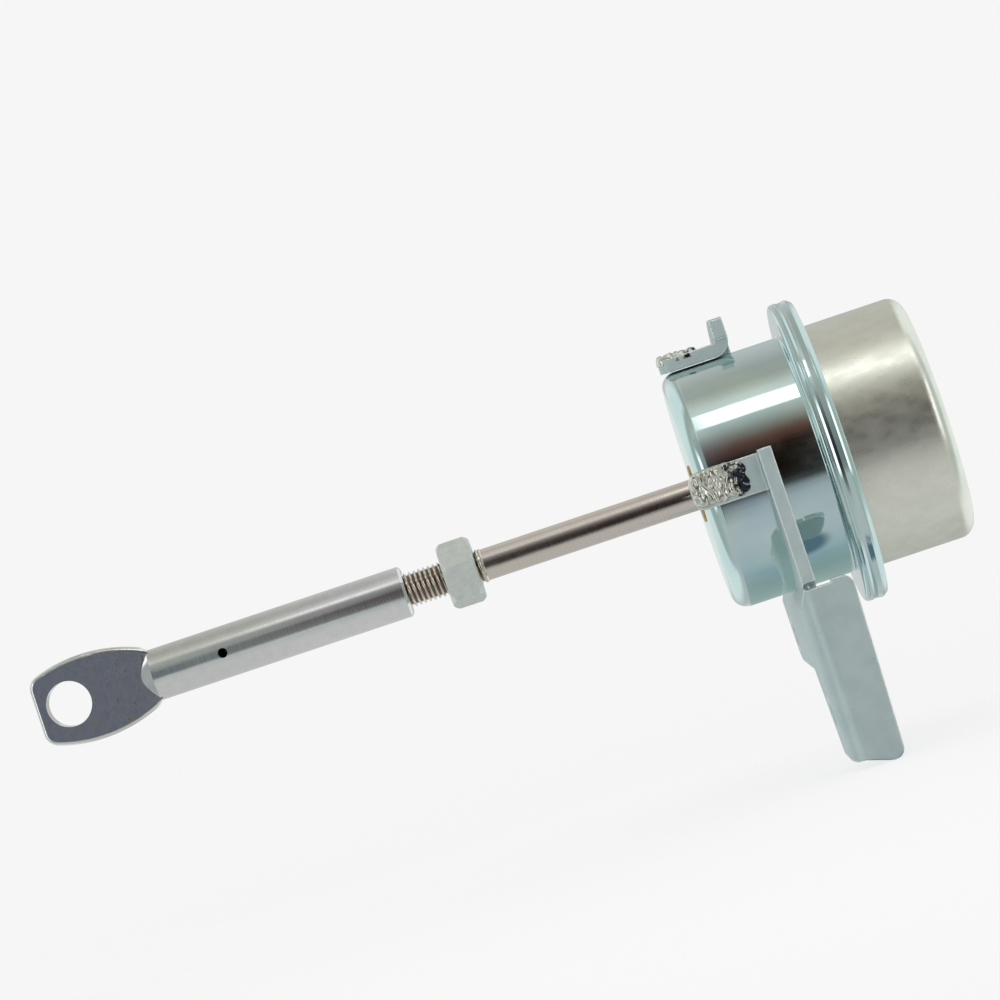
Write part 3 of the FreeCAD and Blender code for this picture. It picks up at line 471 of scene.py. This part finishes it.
def node_box(name):
    """Lowest and highest corner of a CAD node, in millimetres."""
    return [Vector(corner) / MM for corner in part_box(name)]


front_box = node_box("front_can")
rear_box = node_box("rear_can")
sheet = 1.0
nose_x = front_box[0].x
lip_x = front_box[1].x
rim_radius = front_box[1].y
front_radius, rear_radius = 22.4, 22.8
rubber_edge = 1.35
flange_x = lip_x - 3 * sheet - rubber_edge
rear_flange_x = rear_box[0].x
end_x = rear_box[1].x
rear_rim = rim_radius - sheet - 0.7
bush_hole = 5.4
outer_bend, inner_bend = 2.8, 1.8
lip_reach = 3.1
print("cans from", round(nose_x, 2), "to", round(end_x, 2), "rim radius", round(rim_radius, 2))

# %% Turning an outline
AROUND = 240


def soft_outline(corners, steps=8):
    """Points of a closed outline; each corner is (x, radius, rounding of that corner)."""
    points = []
    for i, (x, radius, rounding) in enumerate(corners):
        here = Vector((x, radius))
        if not rounding:
            points.append(here)
            continue
        back = (Vector(corners[i - 1][:2]) - here).normalized()
        on = (Vector(corners[(i + 1) % len(corners)][:2]) - here).normalized()
        half = back.angle(on) / 2
        centre = here + (back + on).normalized() * rounding / math.sin(half)
        leg = rounding / math.tan(half)
        start, end = here + back * leg - centre, here + on * leg - centre
        points += [centre + start.slerp(end, k / steps) * rounding for k in range(steps + 1)]
    return points


def turned_piece(name, outline, around=AROUND, closed=True, radius_at=None):
    """Turns an outline about X. radius_at(x, radius, angle) may change the radius round the axis."""
    verts = []
    for x, radius in outline:
        for i in range(around):
            a = 2 * math.pi * i / around
            r = radius_at(x, radius, a) if radius_at else radius
            verts.append((x * MM, -r * math.cos(a) * MM, r * math.sin(a) * MM))
    mesh = bpy.data.meshes.new(name)
    mesh.from_pydata(verts, [], ring_faces(len(outline), around, closed))
    work = bmesh.new()
    work.from_mesh(mesh)
    bmesh.ops.remove_doubles(work, verts=work.verts, dist=0.001 * MM)
    bmesh.ops.recalc_face_normals(work, faces=work.faces)
    work.to_mesh(mesh)
    work.free()
    return mesh


# %% [markdown]
# Smooth shading averages the normals at each point. At the end of a long straight wall that
# tilts the mirror by a degree or two, enough to show another part of the room. So every piece
# gets normals that follow its largest faces. A piece then rides with its body, stands for its
# CAD node and takes that node's slot.

# %% Linking a piece


def evaluated(target):
    """Mesh of an object with its modifiers; the object itself is removed."""
    graph = bpy.context.evaluated_depsgraph_get()
    result = bpy.data.meshes.new_from_object(target.evaluated_get(graph))
    bpy.data.objects.remove(target)
    return result


def calm_normals(mesh):
    """Normals that follow the large faces, so a long wall mirrors straight up to its roundings."""
    target = bpy.data.objects.new("calming", mesh)
    scene.collection.objects.link(target)
    calm = target.modifiers.new("calm", "WEIGHTED_NORMAL")
    calm.mode = "FACE_AREA"
    calm.weight = 80
    calm.keep_sharp = True
    return evaluated(target)


def add_piece(name, mesh, node, body, slot, sharp=30):
    """Links a mesh that stands for a CAD node and rides with its body."""
    for polygon in mesh.polygons:
        polygon.use_smooth = True
    mesh.set_sharp_from_angle(angle=math.radians(sharp))
    mesh = calm_normals(mesh)
    mesh.name = name
    piece = bpy.data.objects.new(name, mesh)
    scene.collection.objects.link(piece)
    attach(piece, body)
    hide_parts(node)
    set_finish(piece, slot)
    print(name, len(mesh.polygons), "faces")
    return piece


# %% Drilling a hole


def drilled(mesh, centre, direction, radius, length):
    """The mesh with a round hole through it."""
    target = bpy.data.objects.new("drilling", mesh)
    scene.collection.objects.link(target)
    sides = 48
    turns = [2 * math.pi * i / sides for i in range(sides)]
    ring = [(math.cos(a) * radius, math.sin(a) * radius) for a in turns]
    verts = [(x * MM, y * MM, z * length * MM) for z in (0, 1) for x, y in ring]
    faces = [(i, (i + 1) % sides, sides + (i + 1) % sides, sides + i) for i in range(sides)]
    faces += [tuple(range(sides))[::-1], tuple(range(sides, 2 * sides))]
    drill_mesh = bpy.data.meshes.new("drill")
    drill_mesh.from_pydata(verts, [], faces)
    drill = bpy.data.objects.new("drill", drill_mesh)
    turn_to = Vector((0, 0, 1)).rotation_difference(Vector(direction))
    drill.matrix_world = Matrix.Translation(Vector(centre) * MM) @ turn_to.to_matrix().to_4x4()
    scene.collection.objects.link(drill)
    cut = target.modifiers.new("hole", "BOOLEAN")
    cut.operation = "DIFFERENCE"
    cut.object = drill
    cut.solver = "EXACT"
    result = evaluated(target)
    bpy.data.objects.remove(drill)
    return result


# %% Front can
front_outline = soft_outline(
    [
        (nose_x, bush_hole, 0.1),
        (nose_x, front_radius, outer_bend),
        (flange_x, front_radius, 0.4),
        (flange_x, rim_radius - 0.1, 0.6),
        (flange_x + 0.74, rim_radius - 0.05, 0.05),
        (flange_x + 0.84, rim_radius - 0.2, 0.05),
        (flange_x + 0.96, rim_radius - 0.04, 0.05),
        (flange_x + 1.25, rim_radius, 0.12),
        (flange_x + 1.72, rim_radius - 0.18, 0.15),
        (flange_x + 2.3, rim_radius - 0.16, 0.5),
        (lip_x - 1.15, rim_radius, 0.12),
        (lip_x - 0.75, rim_radius - 0.15, 0.2),
        (lip_x, rim_radius - 0.75, 0.5),
        (lip_x, rim_radius - lip_reach, 0.25),
        (lip_x - sheet, rim_radius - lip_reach, 0),
        (lip_x - sheet, rim_radius - sheet, 0.7),
        (flange_x + sheet, rim_radius - sheet, 0.7),
        (flange_x + sheet, front_radius - sheet, 0.5),
        (nose_x + sheet, front_radius - sheet, inner_bend),
        (nose_x + sheet, bush_hole, 0),
    ]
)
front_mesh = turned_piece("front_can_skin", front_outline)
front_mesh = drilled(front_mesh, centre=(6.5, 0, -15), direction=(0, 0, -1), radius=1.5, length=12)
add_piece("front_can_skin", front_mesh, "front_can", "housing", "zinc_can")

# %% Rear can
dish, dish_deep = 14.5, 1.0
rear_outline = soft_outline(
    [
        (rear_flange_x, rear_radius - sheet, 0.5),
        (rear_flange_x, rear_rim, 0),
        (rear_flange_x + sheet, rear_rim, 0),
        (rear_flange_x + sheet, rear_radius, sheet),
        (end_x, rear_radius, outer_bend),
        (end_x, dish + dish_deep, 1.2),
        (end_x - dish_deep, dish, 1.2),
        (end_x - dish_deep, 0, 0),
        (end_x - dish_deep - sheet, 0, 0),
        (end_x - dish_deep - sheet, dish + sheet / 2, 0),
        (end_x - sheet, dish + sheet / 2 + dish_deep, 0),
        (end_x - sheet, rear_radius - sheet, inner_bend),
    ]
)
rear_mesh = turned_piece("rear_can_skin", rear_outline)
rear_mesh = drilled(rear_mesh, centre=(25, 15, 0), direction=(0, 1, 0), radius=2.55, length=12)
add_piece("rear_can_skin", rear_mesh, "rear_can", "housing", "satin_can")

# %% [markdown]
# ## Rod with its thread
#
# The CAD rod ends in a plain cylinder as thick as the thread's crests. The real thread is cut
# into that: 28 to the inch, which is 0.907 mm from crest to crest. Its radius depends on the
# place along the rod and on the angle round it, so the same turning function makes it, with
# about ten rows of points to each turn of thread.

# %% Threaded rod
rod_box = node_box("actuator_rod")
rod_tip, head_end = rod_box[0].x, rod_box[1].x
rod_radius, crest_radius, tip_bevel = 2.95, 3.175, 0.8
thread_pitch, thread_depth, thread_turns = 0.907, 0.5, 17
thread_end = node_box("lock_nut")[1].x + 1.2
thread_run = thread_turns * thread_pitch
thread_start = thread_end - thread_run
head_front = head_end - 1.4
neck_radius, head_radius = 2.2, 3.9
shoulder = node_box("backing_washer")[0].x


def thread_radius(x, radius, a):
    """Radius of the rod at x and at the angle a, with the thread's groove cut in."""
    if not thread_start < x < thread_end:
        return radius
    fading = min(1.0, (x - thread_start) / thread_pitch, (thread_end - x) / thread_pitch)
    turn_part = (x / thread_pitch + a / (2 * math.pi)) % 1.0
    flank = (abs(2 * turn_part - 1) - 0.12) / 0.76
    return radius - thread_depth * fading * min(1.0, max(0.0, flank))


rod_outline = [
    (rod_tip, 0),
    (rod_tip, crest_radius - tip_bevel),
    (rod_tip + tip_bevel, crest_radius),
    (thread_start, crest_radius),
]
rows = thread_turns * 11
for i in range(1, rows + 1):
    rod_outline.append((thread_start + (thread_end - thread_start) * i / rows, crest_radius))
rod_outline += [
    (thread_end + crest_radius - rod_radius, rod_radius),
    (-30, rod_radius),
    (shoulder, rod_radius),
    (shoulder, neck_radius),
    (head_front, neck_radius),
    (head_front, head_radius),
    (head_front + 0.7, head_radius),
    (head_end, head_radius / 2),
    (head_end, 0),
]
rod_mesh = turned_piece("threaded_rod", rod_outline, 96, closed=False, radius_at=thread_radius)
add_piece("threaded_rod", rod_mesh, "actuator_rod", "rod", "polished_rod")

# %% [markdown]
# ## Weld beads
#
# Each tab is welded over its outside: a row of overlapping crescents, crumpled where the metal
# froze, that runs over the tab's end and sides. A grid of points lies over the tab, its height
# is the crescents plus some coarse noise, and its border is pulled down past the tab's edges so
# that the bead wraps round them.

# %% Weld beads over the tabs
tab_half, tab_top = 3.4, 25.0
past_tab_end = 0.25
noise_seed = {"near_tab_weld": 3.1, "top_tab_weld": 11.7, "far_tab_weld": 23.9}


def weld_height(along_mm, across, seed):
    """Height of the bead above the tab, in millimetres; across runs from -1 to 1."""
    crescent = 0.5 + 0.5 * math.cos(2 * math.pi * (along_mm / 2.1 + 0.35 * across * across))
    lumps = noise.noise(Vector((along_mm * 0.5, across * 1.6, seed)))
    ridges = 1 - abs(noise.noise(Vector((along_mm * 0.9, across * 1.5, seed + 7)))) * 2
    crumple = noise.noise(Vector((along_mm * 1.7, across * 2.6, seed + 3)))
    return 0.3 + 0.14 * crescent + 0.45 * lumps + 0.38 * ridges + 0.12 * crumple


def weld_bead(name, node, turn_angle, x_start, x_end, half_down):
    """A crumpled skin over the tab; half_down is its half width on the lower side."""
    columns, lines = 120, 80
    seed = noise_seed[node]
    verts, faces = [], []
    for i in range(columns + 1):
        s = 2 * i / columns - 1
        for j in range(lines + 1):
            c = 2 * j / lines - 1
            edge = max(abs(s) ** 6, abs(c) ** 6)
            shape = math.sqrt(max(0.0, 1 - edge * edge))
            x = (x_start + x_end) / 2 + s * (x_end - x_start) / 2 * (1 - 0.12 * c ** 4)
            rise = weld_height(x, c, seed) * shape - (1 - shape) * 0.9
            wander = 0.3 * noise.noise(Vector((x * 0.7, c, seed + 5)))
            half = tab_half + 0.15 if c > 0 else half_down
            z = c * (half + wander * abs(c)) * (1 - 0.2 * s ** 8)
            verts.append(Vector((x, -(tab_top + rise), z)) * MM)
    for i in range(columns):
        for j in range(lines):
            a = i * (lines + 1) + j
            faces.append((a, a + 1, a + lines + 2, a + lines + 1))
    mesh = bpy.data.meshes.new(name)
    mesh.from_pydata(verts, [], faces)
    mesh.transform(Matrix.Rotation(math.radians(turn_angle), 4, "X"))
    return add_piece(name, mesh, node, "housing", "weld", sharp=60)


tab_turn = 1.2
near_tab_end = node_box("bracket")[0].x
top_tab_end = near_tab_end + 2.1
near_start, top_start = near_tab_end - past_tab_end, top_tab_end - past_tab_end
weld_bead("near_weld_bead", "near_tab_weld", -tab_turn, near_start, x_end=-2.5, half_down=3.0)
weld_bead("top_weld_bead", "top_tab_weld", tab_turn - 90, top_start, x_end=-3.4, half_down=3.4)
weld_bead("far_weld_bead", "far_tab_weld", 180, top_start, x_end=-3.4, half_down=3.4)

# %% [markdown]
# ## Bracket and nut with broken edges
#
# Sheared sheet and a tumbled nut have no knife edges: each edge is broken by a few tenths of a
# millimetre, and that is where they catch the light. The CAD meshes are cleaned of the extra
# edges on their flat faces, and every real edge gets a rounded bevel.

# %% Broken edges


def broken_edges(name, node, body, slot, width):
    """Stands for a CAD node with its own mesh, its real edges rounded by a bevel of that width."""
    mesh = nodes[node].data.copy()
    mesh.name = name
    work = bmesh.new()
    work.from_mesh(mesh)
    bmesh.ops.remove_doubles(work, verts=work.verts, dist=0.002 * MM)
    bmesh.ops.dissolve_limit(work, angle_limit=math.radians(0.5), verts=work.verts, edges=work.edges)
    real = [e for e in work.edges if len(e.link_faces) == 2 and e.calc_face_angle(0) > math.radians(28)]
    bmesh.ops.bevel(
        work, geom=real, offset=width * MM, segments=4, profile=0.5, affect="EDGES", clamp_overlap=True
    )
    bmesh.ops.recalc_face_normals(work, faces=work.faces)
    work.to_mesh(mesh)
    work.free()
    return add_piece(name, mesh, node, body, slot, sharp=50)


broken_edges("bracket_with_broken_edges", "bracket", "housing", "zinc_bracket", width=0.7)
broken_edges("nut_with_broken_edges", "lock_nut", "lock_nut", "zinc_nut", width=0.22)

# %% [markdown]
# ## Finishes
#
# Each finish starts from the same few measures: the place in millimetres, the place along and
# round the axis of the cans and the rod, and a mask for the broken edges. Patterns are then
# sized in real millimetres: a draw line is a few hundredths wide, a stain a few millimetres.
# The camera's pixels are 0.18 mm, so lines finer than that are drawn a little coarser here.

# %% Measures that the finishes share


def new_finish(name):
    """A new material and its empty node tree."""
    material = bpy.data.materials.new(name)
    material.use_nodes = True
    material.node_tree.nodes.clear()
    return material, material.node_tree


def place_mm(tree, stretch=(1, 1, 1)):
    """Place on the resting piece in millimetres, stretched along X, Y and Z."""
    spot = add(tree, "ShaderNodeTexCoord").outputs["Object"]
    sockets = {0: spot, 1: [1000 * s for s in stretch]}
    return add(tree, "ShaderNodeVectorMath", sockets, operation="MULTIPLY").outputs[0]


def round_place(tree, along_scale, round_scale, radius):
    """Place unrolled from the X axis: along it, and round it at a radius, both in scaled mm."""
    parts = add(tree, "ShaderNodeSeparateXYZ", {0: place_mm(tree)})
    away = add(tree, "ShaderNodeMath", {0: parts.outputs["Y"], 1: -1.0}, operation="MULTIPLY")
    a = add(tree, "ShaderNodeMath", {0: parts.outputs["Z"], 1: away.outputs[0]}, operation="ARCTAN2")
    x = times(tree, parts.outputs["X"], along_scale)
    arc = times(tree, a.outputs[0], radius * round_scale)
    return add(tree, "ShaderNodeCombineXYZ", {"X": x, "Y": arc}).outputs[0]


def patches(tree, vector, scale, detail=3.0, rough=0.55, low=0.0, high=1.0):
    """Cloudy noise from low to high."""
    sockets = {"Vector": vector, "Scale": scale, "Detail": detail, "Roughness": rough}
    cloud = add(tree, "ShaderNodeTexNoise", sockets).outputs["Fac"]
    limits = {"Value": cloud, "From Min": 0.3, "From Max": 0.7, "To Min": low, "To Max": high}
    return add(tree, "ShaderNodeMapRange", limits).outputs[0]


def relief(tree, height, depth_mm, normal=None):
    """Normal of a surface that rises by depth_mm where the height goes from 0 to 1."""
    sockets = {"Height": height, "Distance": depth_mm * MM, "Strength": 1.0}
    if normal is not None:
        sockets["Normal"] = normal
    return add(tree, "ShaderNodeBump", sockets).outputs["Normal"]


def rounded_edges(tree, width_mm):
    """A rounded normal, and a mask that is 1 on edges narrower than width_mm."""
    soft = add(tree, "ShaderNodeBevel", {"Radius": width_mm * MM}, samples=6).outputs["Normal"]
    true = add(tree, "ShaderNodeNewGeometry").outputs["Normal"]
    match = add(tree, "ShaderNodeVectorMath", {0: soft, 1: true}, operation="DOT_PRODUCT").outputs["Value"]
    return soft, fade(tree, match, 0.995, 0.9)


def shade_with(tree, sockets):
    """Ends a material's tree with its surface shader."""
    shader = add(tree, "ShaderNodeBsdfPrincipled", sockets)
    add(tree, "ShaderNodeOutputMaterial", {"Surface": shader.outputs[0]})


# %% [markdown]
# ### Bright zinc on the front can
#
# Electroplated zinc with a clear blue passivation: a mirror with a cold green-blue cast. The
# drawing die leaves fine lines along the axis, the sheet keeps a slight waviness that makes
# reflections swim, and handling leaves faint dull smudges and a few dark specks.

# %% Bright zinc plate
zinc, tree = new_finish("bright_zinc_plate")
draw_lines = patches(tree, round_place(tree, 0.05, 5.0, front_radius), 1.0, detail=2.0)
waves = patches(tree, round_place(tree, 0.03, 0.2, front_radius), 1.0, detail=1.0)
smudges = patches(tree, place_mm(tree, (0.7, 1, 1)), 0.22, detail=4.0, low=0.03, high=0.08)
tint = blend(tree, patches(tree, place_mm(tree), 0.09, detail=2.0), linear("#c8dde2"), linear("#d3e6e3"))
specks = fade(tree, patches(tree, place_mm(tree), 1.3, detail=5.0, rough=0.7), 0.9, 1.0)
tint = blend(tree, times(tree, specks, 0.35), tint, linear("#7f8684"))
surface = relief(tree, waves, 0.006)
surface = relief(tree, draw_lines, 0.001, surface)
shade_with(tree, {"Base Color": tint, "Metallic": 1.0, "Roughness": smudges, "Normal": surface})

# %% [markdown]
# ### Satin plate on the rear can
#
# The rear can is duller and warmer. Its highlight spreads, and stains and rub marks show in the
# dark part of its reflection.

# %% Satin plated steel
satin, tree = new_finish("satin_plated_steel")
stains = patches(tree, place_mm(tree, (1, 1, 1.3)), 0.3, detail=5.0, rough=0.6)
tint = blend(tree, stains, linear("#e9ebe1"), linear("#f3f3ea"))
rubbed = patches(tree, place_mm(tree, (0.6, 1, 1)), 0.45, detail=4.0, low=0.25, high=0.36)
lines = patches(tree, round_place(tree, 0.06, 4.0, rear_radius), 1.0, detail=3.0)
rings = patches(tree, place_mm(tree, (4.0, 0.05, 0.05)), 1.0, detail=2.0)
surface = relief(tree, stains, 0.006)
surface = relief(tree, lines, 0.002, surface)
surface = relief(tree, rings, 0.001, surface)
shade_with(tree, {"Base Color": tint, "Metallic": 1.0, "Roughness": rubbed, "Normal": surface})

# %% [markdown]
# ### Dull zinc on the bracket
#
# Thicker sheet, barrel plated after shearing: matt grey-blue with a fine orange-peel and dark
# pinpricks. Its broken edges are smoother and fully metallic, and they carry a painted highlight:
# a near-white tint. Half of its light is scattered, half mirrored.

# %% Dull zinc plate
dull, tree = new_finish("dull_zinc_plate")
soft_normal, edges = rounded_edges(tree, 0.5)
clouds = patches(tree, place_mm(tree), 0.25, detail=4.0)
tint = blend(tree, clouds, linear("#b2c1c4"), linear("#bccaca"))
pins = fade(tree, patches(tree, place_mm(tree), 1.6, detail=4.0, rough=0.7), 0.86, 0.98)
tint = blend(tree, times(tree, pins, 0.4), tint, linear("#6f7678"))
# Painted highlight: the broken edges get a near-white tint.
tint = blend(tree, edges, tint, linear("#f2f7f4"))
peel = patches(tree, place_mm(tree), 2.2, detail=2.0)
dullness = patches(tree, place_mm(tree), 0.5, detail=3.0, low=0.32, high=0.44)
flat_part = add(tree, "ShaderNodeMath", {0: 1.0, 1: edges}, operation="SUBTRACT").outputs[0]
dullness = plus(tree, times(tree, dullness, flat_part), 0.1)
metal = add(tree, "ShaderNodeMapRange", {"Value": edges, "To Min": 0.5, "To Max": 1.0}).outputs[0]
surface = relief(tree, peel, 0.006, soft_normal)
surface = relief(tree, clouds, 0.03, surface)
shade_with(tree, {"Base Color": tint, "Metallic": metal, "Roughness": dullness, "Normal": surface})

# %% [markdown]
# ### Weld metal
#
# The bead was plated with the bracket, so its facets are bright. At the end next to the arm it
# is painted blue-black: a painted shade where the bead runs into the corner by the arm. It is a
# little rougher there.

# %% Plated weld
weld, tree = new_finish("plated_weld")
parts = add(tree, "ShaderNodeSeparateXYZ", {0: place_mm(tree)})
spread = patches(tree, place_mm(tree), 0.8, detail=4.0, rough=0.65, low=-2.4, high=2.4)
reach = plus(tree, parts.outputs["X"], spread)
shade_breakup = fade(tree, patches(tree, place_mm(tree), 1.3, detail=3.0), 0.78, 0.6)
# Painted shade: the end of the bead next to the arm is darkened to blue-black, in broken patches.
arm_corner_shade = times(tree, fade(tree, reach, -6.4, -4.8), shade_breakup)
grit = patches(tree, place_mm(tree), 1.1, detail=2.0, rough=0.5)
tint = blend(tree, grit, linear("#c6c5b9"), linear("#e6e6dd"))
tint = blend(tree, arm_corner_shade, tint, linear("#33323f"))
surface = relief(tree, grit, 0.06)
weld_roughness = add(tree, "ShaderNodeMapRange", {"Value": arm_corner_shade, "To Min": 0.2, "To Max": 0.3}).outputs[0]
shade_with(tree, {"Base Color": tint, "Metallic": 1.0, "Roughness": weld_roughness, "Normal": surface})

# %% [markdown]
# ### Ground rod
#
# The rod is ground between wheels, which leaves fine rings round it, and its travel through the
# bush adds a few lines along it. The grooves of the thread are painted darker, a painted shade in
# them.

# %% Ground steel
ground, tree = new_finish("ground_steel")
wheel_rings = patches(tree, place_mm(tree, (5.0, 0.1, 0.1)), 1.0, detail=3.0, rough=0.7)
travel_lines = patches(tree, round_place(tree, 0.1, 3.0, rod_radius), 1.0, detail=2.0)
off_axis = add(tree, "ShaderNodeVectorMath", {0: place_mm(tree, (0, 1, 1))}, operation="LENGTH")
# Painted shade: the thread's grooves, inside 2.93 mm of the axis, are darkened.
groove = fade(tree, off_axis.outputs["Value"], 2.93, 2.72)
shaded_grooves = blend(tree, groove, linear("#e3dad2"), linear("#6a6158"))
tint = blend(tree, times(tree, wheel_rings, 0.35), shaded_grooves, linear("#cfc4b9"))
shine = patches(tree, place_mm(tree), 0.8, detail=3.0, low=0.06, high=0.12)
surface = relief(tree, wheel_rings, 0.0015)
surface = relief(tree, travel_lines, 0.001, surface)
shade_with(tree, {"Base Color": tint, "Metallic": 1.0, "Roughness": shine, "Normal": surface})

# %% [markdown]
# ### Forged rod end
#
# The sleeve is turned and bright. The eye was forged flat, so its faces are uneven and a little
# rougher; the plate over both is the same.

# %% Bright plated forging
forging, tree = new_finish("bright_plated_forging")
parts = add(tree, "ShaderNodeSeparateXYZ", {0: place_mm(tree)})
sleeve_length = 48.6
sleeve_end = node_box("rod_end")[1].x - sleeve_length
forged = fade(tree, parts.outputs["X"], sleeve_end + 1, sleeve_end - 2)
dents = patches(tree, place_mm(tree), 0.5, detail=3.0)
fine = patches(tree, place_mm(tree), 3.0, detail=3.0)
turning = patches(tree, place_mm(tree, (6.0, 0.1, 0.1)), 1.0, detail=2.0)
surface = relief(tree, times(tree, dents, forged), 0.03)
surface = relief(tree, times(tree, fine, forged), 0.002, surface)
surface = relief(tree, turning, 0.0012, surface)
cloudy = patches(tree, place_mm(tree), 0.35, detail=4.0, low=0.05, high=0.1)
shine = plus(tree, cloudy, times(tree, forged, 0.08))
tint = blend(tree, dents, linear("#e2e3e4"), linear("#ebebea"))
shade_with(tree, {"Base Color": tint, "Metallic": 1.0, "Roughness": shine, "Normal": surface})

# %% [markdown]
# ### Zinc on the lock nut
#
# The bar was drawn to a hexagon, so its flats have lines along the axis. Its faces were
# turned, but their rings are not drawn.

# %% Zinc on the nut
nut_zinc, tree = new_finish("zinc_plated_nut")
bar_lines = patches(tree, place_mm(tree, (0.15, 6, 6)), 1.0, detail=3.0)
spots = patches(tree, place_mm(tree), 0.8, detail=4.0)
tint = blend(tree, spots, linear("#c8ceca"), linear("#d8dcd8"))
dullness = patches(tree, place_mm(tree), 0.6, detail=3.0, low=0.26, high=0.36)
surface = relief(tree, bar_lines, 0.004)
surface = relief(tree, spots, 0.012, surface)
shade_with(tree, {"Base Color": tint, "Metallic": 0.5, "Roughness": dullness, "Normal": surface})

# %% [markdown]
# ### Inside the cans and on the far side
#
# These hardly show, but a moved or opened actuator shows them: fabric-backed rubber, porous
# bronze, filled plastic, oiled spring wire, pressed sheet, the turned nipple and its braze.

# %% Rubber with its fabric
rubber, tree = new_finish("fabric_backed_rubber")
# The cloth has 1 thread to 0.7 mm; the bands repeat every 2 pi / scale / 20.
threads = []
for way in ("X", "Y"):
    cloth = {"Vector": place_mm(tree), "Scale": 0.45}
    threads.append(add(tree, "ShaderNodeTexWave", cloth, bands_direction=way).outputs["Fac"])
weave = add(tree, "ShaderNodeMath", {0: threads[0], 1: threads[1]}, operation="MAXIMUM").outputs[0]
dust = patches(tree, place_mm(tree), 0.6, detail=4.0)
tint = blend(tree, dust, linear("#1b1b1d"), linear("#2c2b2c"))
surface = relief(tree, weave, 0.05)
shade_with(tree, {"Base Color": tint, "Roughness": 0.62, "Specular IOR Level": 0.35, "Normal": surface})

# %% Porous bronze
bronze, tree = new_finish("sintered_bronze")
grains = add(tree, "ShaderNodeTexVoronoi", {"Vector": place_mm(tree), "Scale": 4.0}).outputs["Distance"]
pores = fade(tree, grains, 0.12, 0.02)
tint = blend(tree, patches(tree, place_mm(tree), 0.7), linear("#a5875a"), linear("#c3a472"))
tint = blend(tree, pores, tint, linear("#3d2f1d"))
surface = relief(tree, grains, 0.02)
shade_with(tree, {"Base Color": tint, "Metallic": 1.0, "Roughness": 0.42, "Normal": surface})

# %% Filled plastic of the seal
plastic, tree = new_finish("filled_plastic")
flecks = patches(tree, place_mm(tree), 3.0, detail=3.0)
tint = blend(tree, flecks, linear("#26262a"), linear("#3a3a3d"))
surface = relief(tree, patches(tree, place_mm(tree, (5, 0.1, 0.1)), 1.0), 0.004)
shade_with(tree, {"Base Color": tint, "Roughness": 0.45, "Normal": surface})

# %% Oiled spring wire
wire, tree = new_finish("oiled_spring_wire")
oil = patches(tree, place_mm(tree), 0.4, detail=4.0)
tint = blend(tree, oil, linear("#6d6c6c"), linear("#8f8d88"))
shine = patches(tree, place_mm(tree), 0.7, low=0.18, high=0.34)
surface = relief(tree, patches(tree, place_mm(tree), 4.0, detail=2.0), 0.006)
shade_with(tree, {"Base Color": tint, "Metallic": 1.0, "Roughness": shine, "Normal": surface})

# %% Pressed sheet
pressed, tree = new_finish("pressed_sheet")
rolled = patches(tree, place_mm(tree, (3, 3, 0.1)), 1.0, detail=3.0)
tint = blend(tree, patches(tree, place_mm(tree), 0.3), linear("#bdbdba"), linear("#d0d0cd"))
surface = relief(tree, rolled, 0.003)
shade_with(tree, {"Base Color": tint, "Metallic": 1.0, "Roughness": 0.3, "Normal": surface})

# %% Plated nipple
nipple, tree = new_finish("plated_nipple")
turned_rings = patches(tree, place_mm(tree, (0.1, 5, 0.1)), 1.0, detail=2.0)
tint = blend(tree, patches(tree, place_mm(tree), 0.6), linear("#c4c9c6"), linear("#d8dcd8"))
shine = patches(tree, place_mm(tree), 0.9, low=0.18, high=0.28)
surface = relief(tree, turned_rings, 0.003)
shade_with(tree, {"Base Color": tint, "Metallic": 1.0, "Roughness": shine, "Normal": surface})

# %% Braze
braze, tree = new_finish("braze_metal")
flux = patches(tree, place_mm(tree), 1.2, detail=4.0)
tint = blend(tree, flux, linear("#8d6f3c"), linear("#cfae68"))
surface = relief(tree, patches(tree, place_mm(tree), 1.1, detail=2.0), 0.06)
shade_with(tree, {"Base Color": tint, "Metallic": 1.0, "Roughness": 0.36, "Normal": surface})

# %% [markdown]
# ## Who gets which finish
#
# The record names a slot for every CAD node, and each replacement piece names the slot it takes
# over, so one table from slot to finish covers both.

# %% Finishes onto their pieces
finishes = {
    "zinc_can": zinc,
    "satin_can": satin,
    "zinc_bracket": dull,
    "weld": weld,
    "polished_rod": ground,
    "plated_rod_end": forging,
    "zinc_nut": nut_zinc,
    "rubber": rubber,
    "sintered": bronze,
    "seal": plastic,
    "spring_steel": wire,
    "pressed_steel": pressed,
    "nipple_steel": nipple,
    "braze": braze,
}
for part in frame["record"]["subparts"]:
    for material_slot in nodes[part["node"]].material_slots:
        material_slot.material = finishes[part["material_slot"]]
for piece in scene.objects:
    slot_name = piece.get("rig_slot")
    if slot_name:
        piece.data.materials.clear()
        piece.data.materials.append(finishes[slot_name])
        print(piece.name, "gets", finishes[slot_name].name)
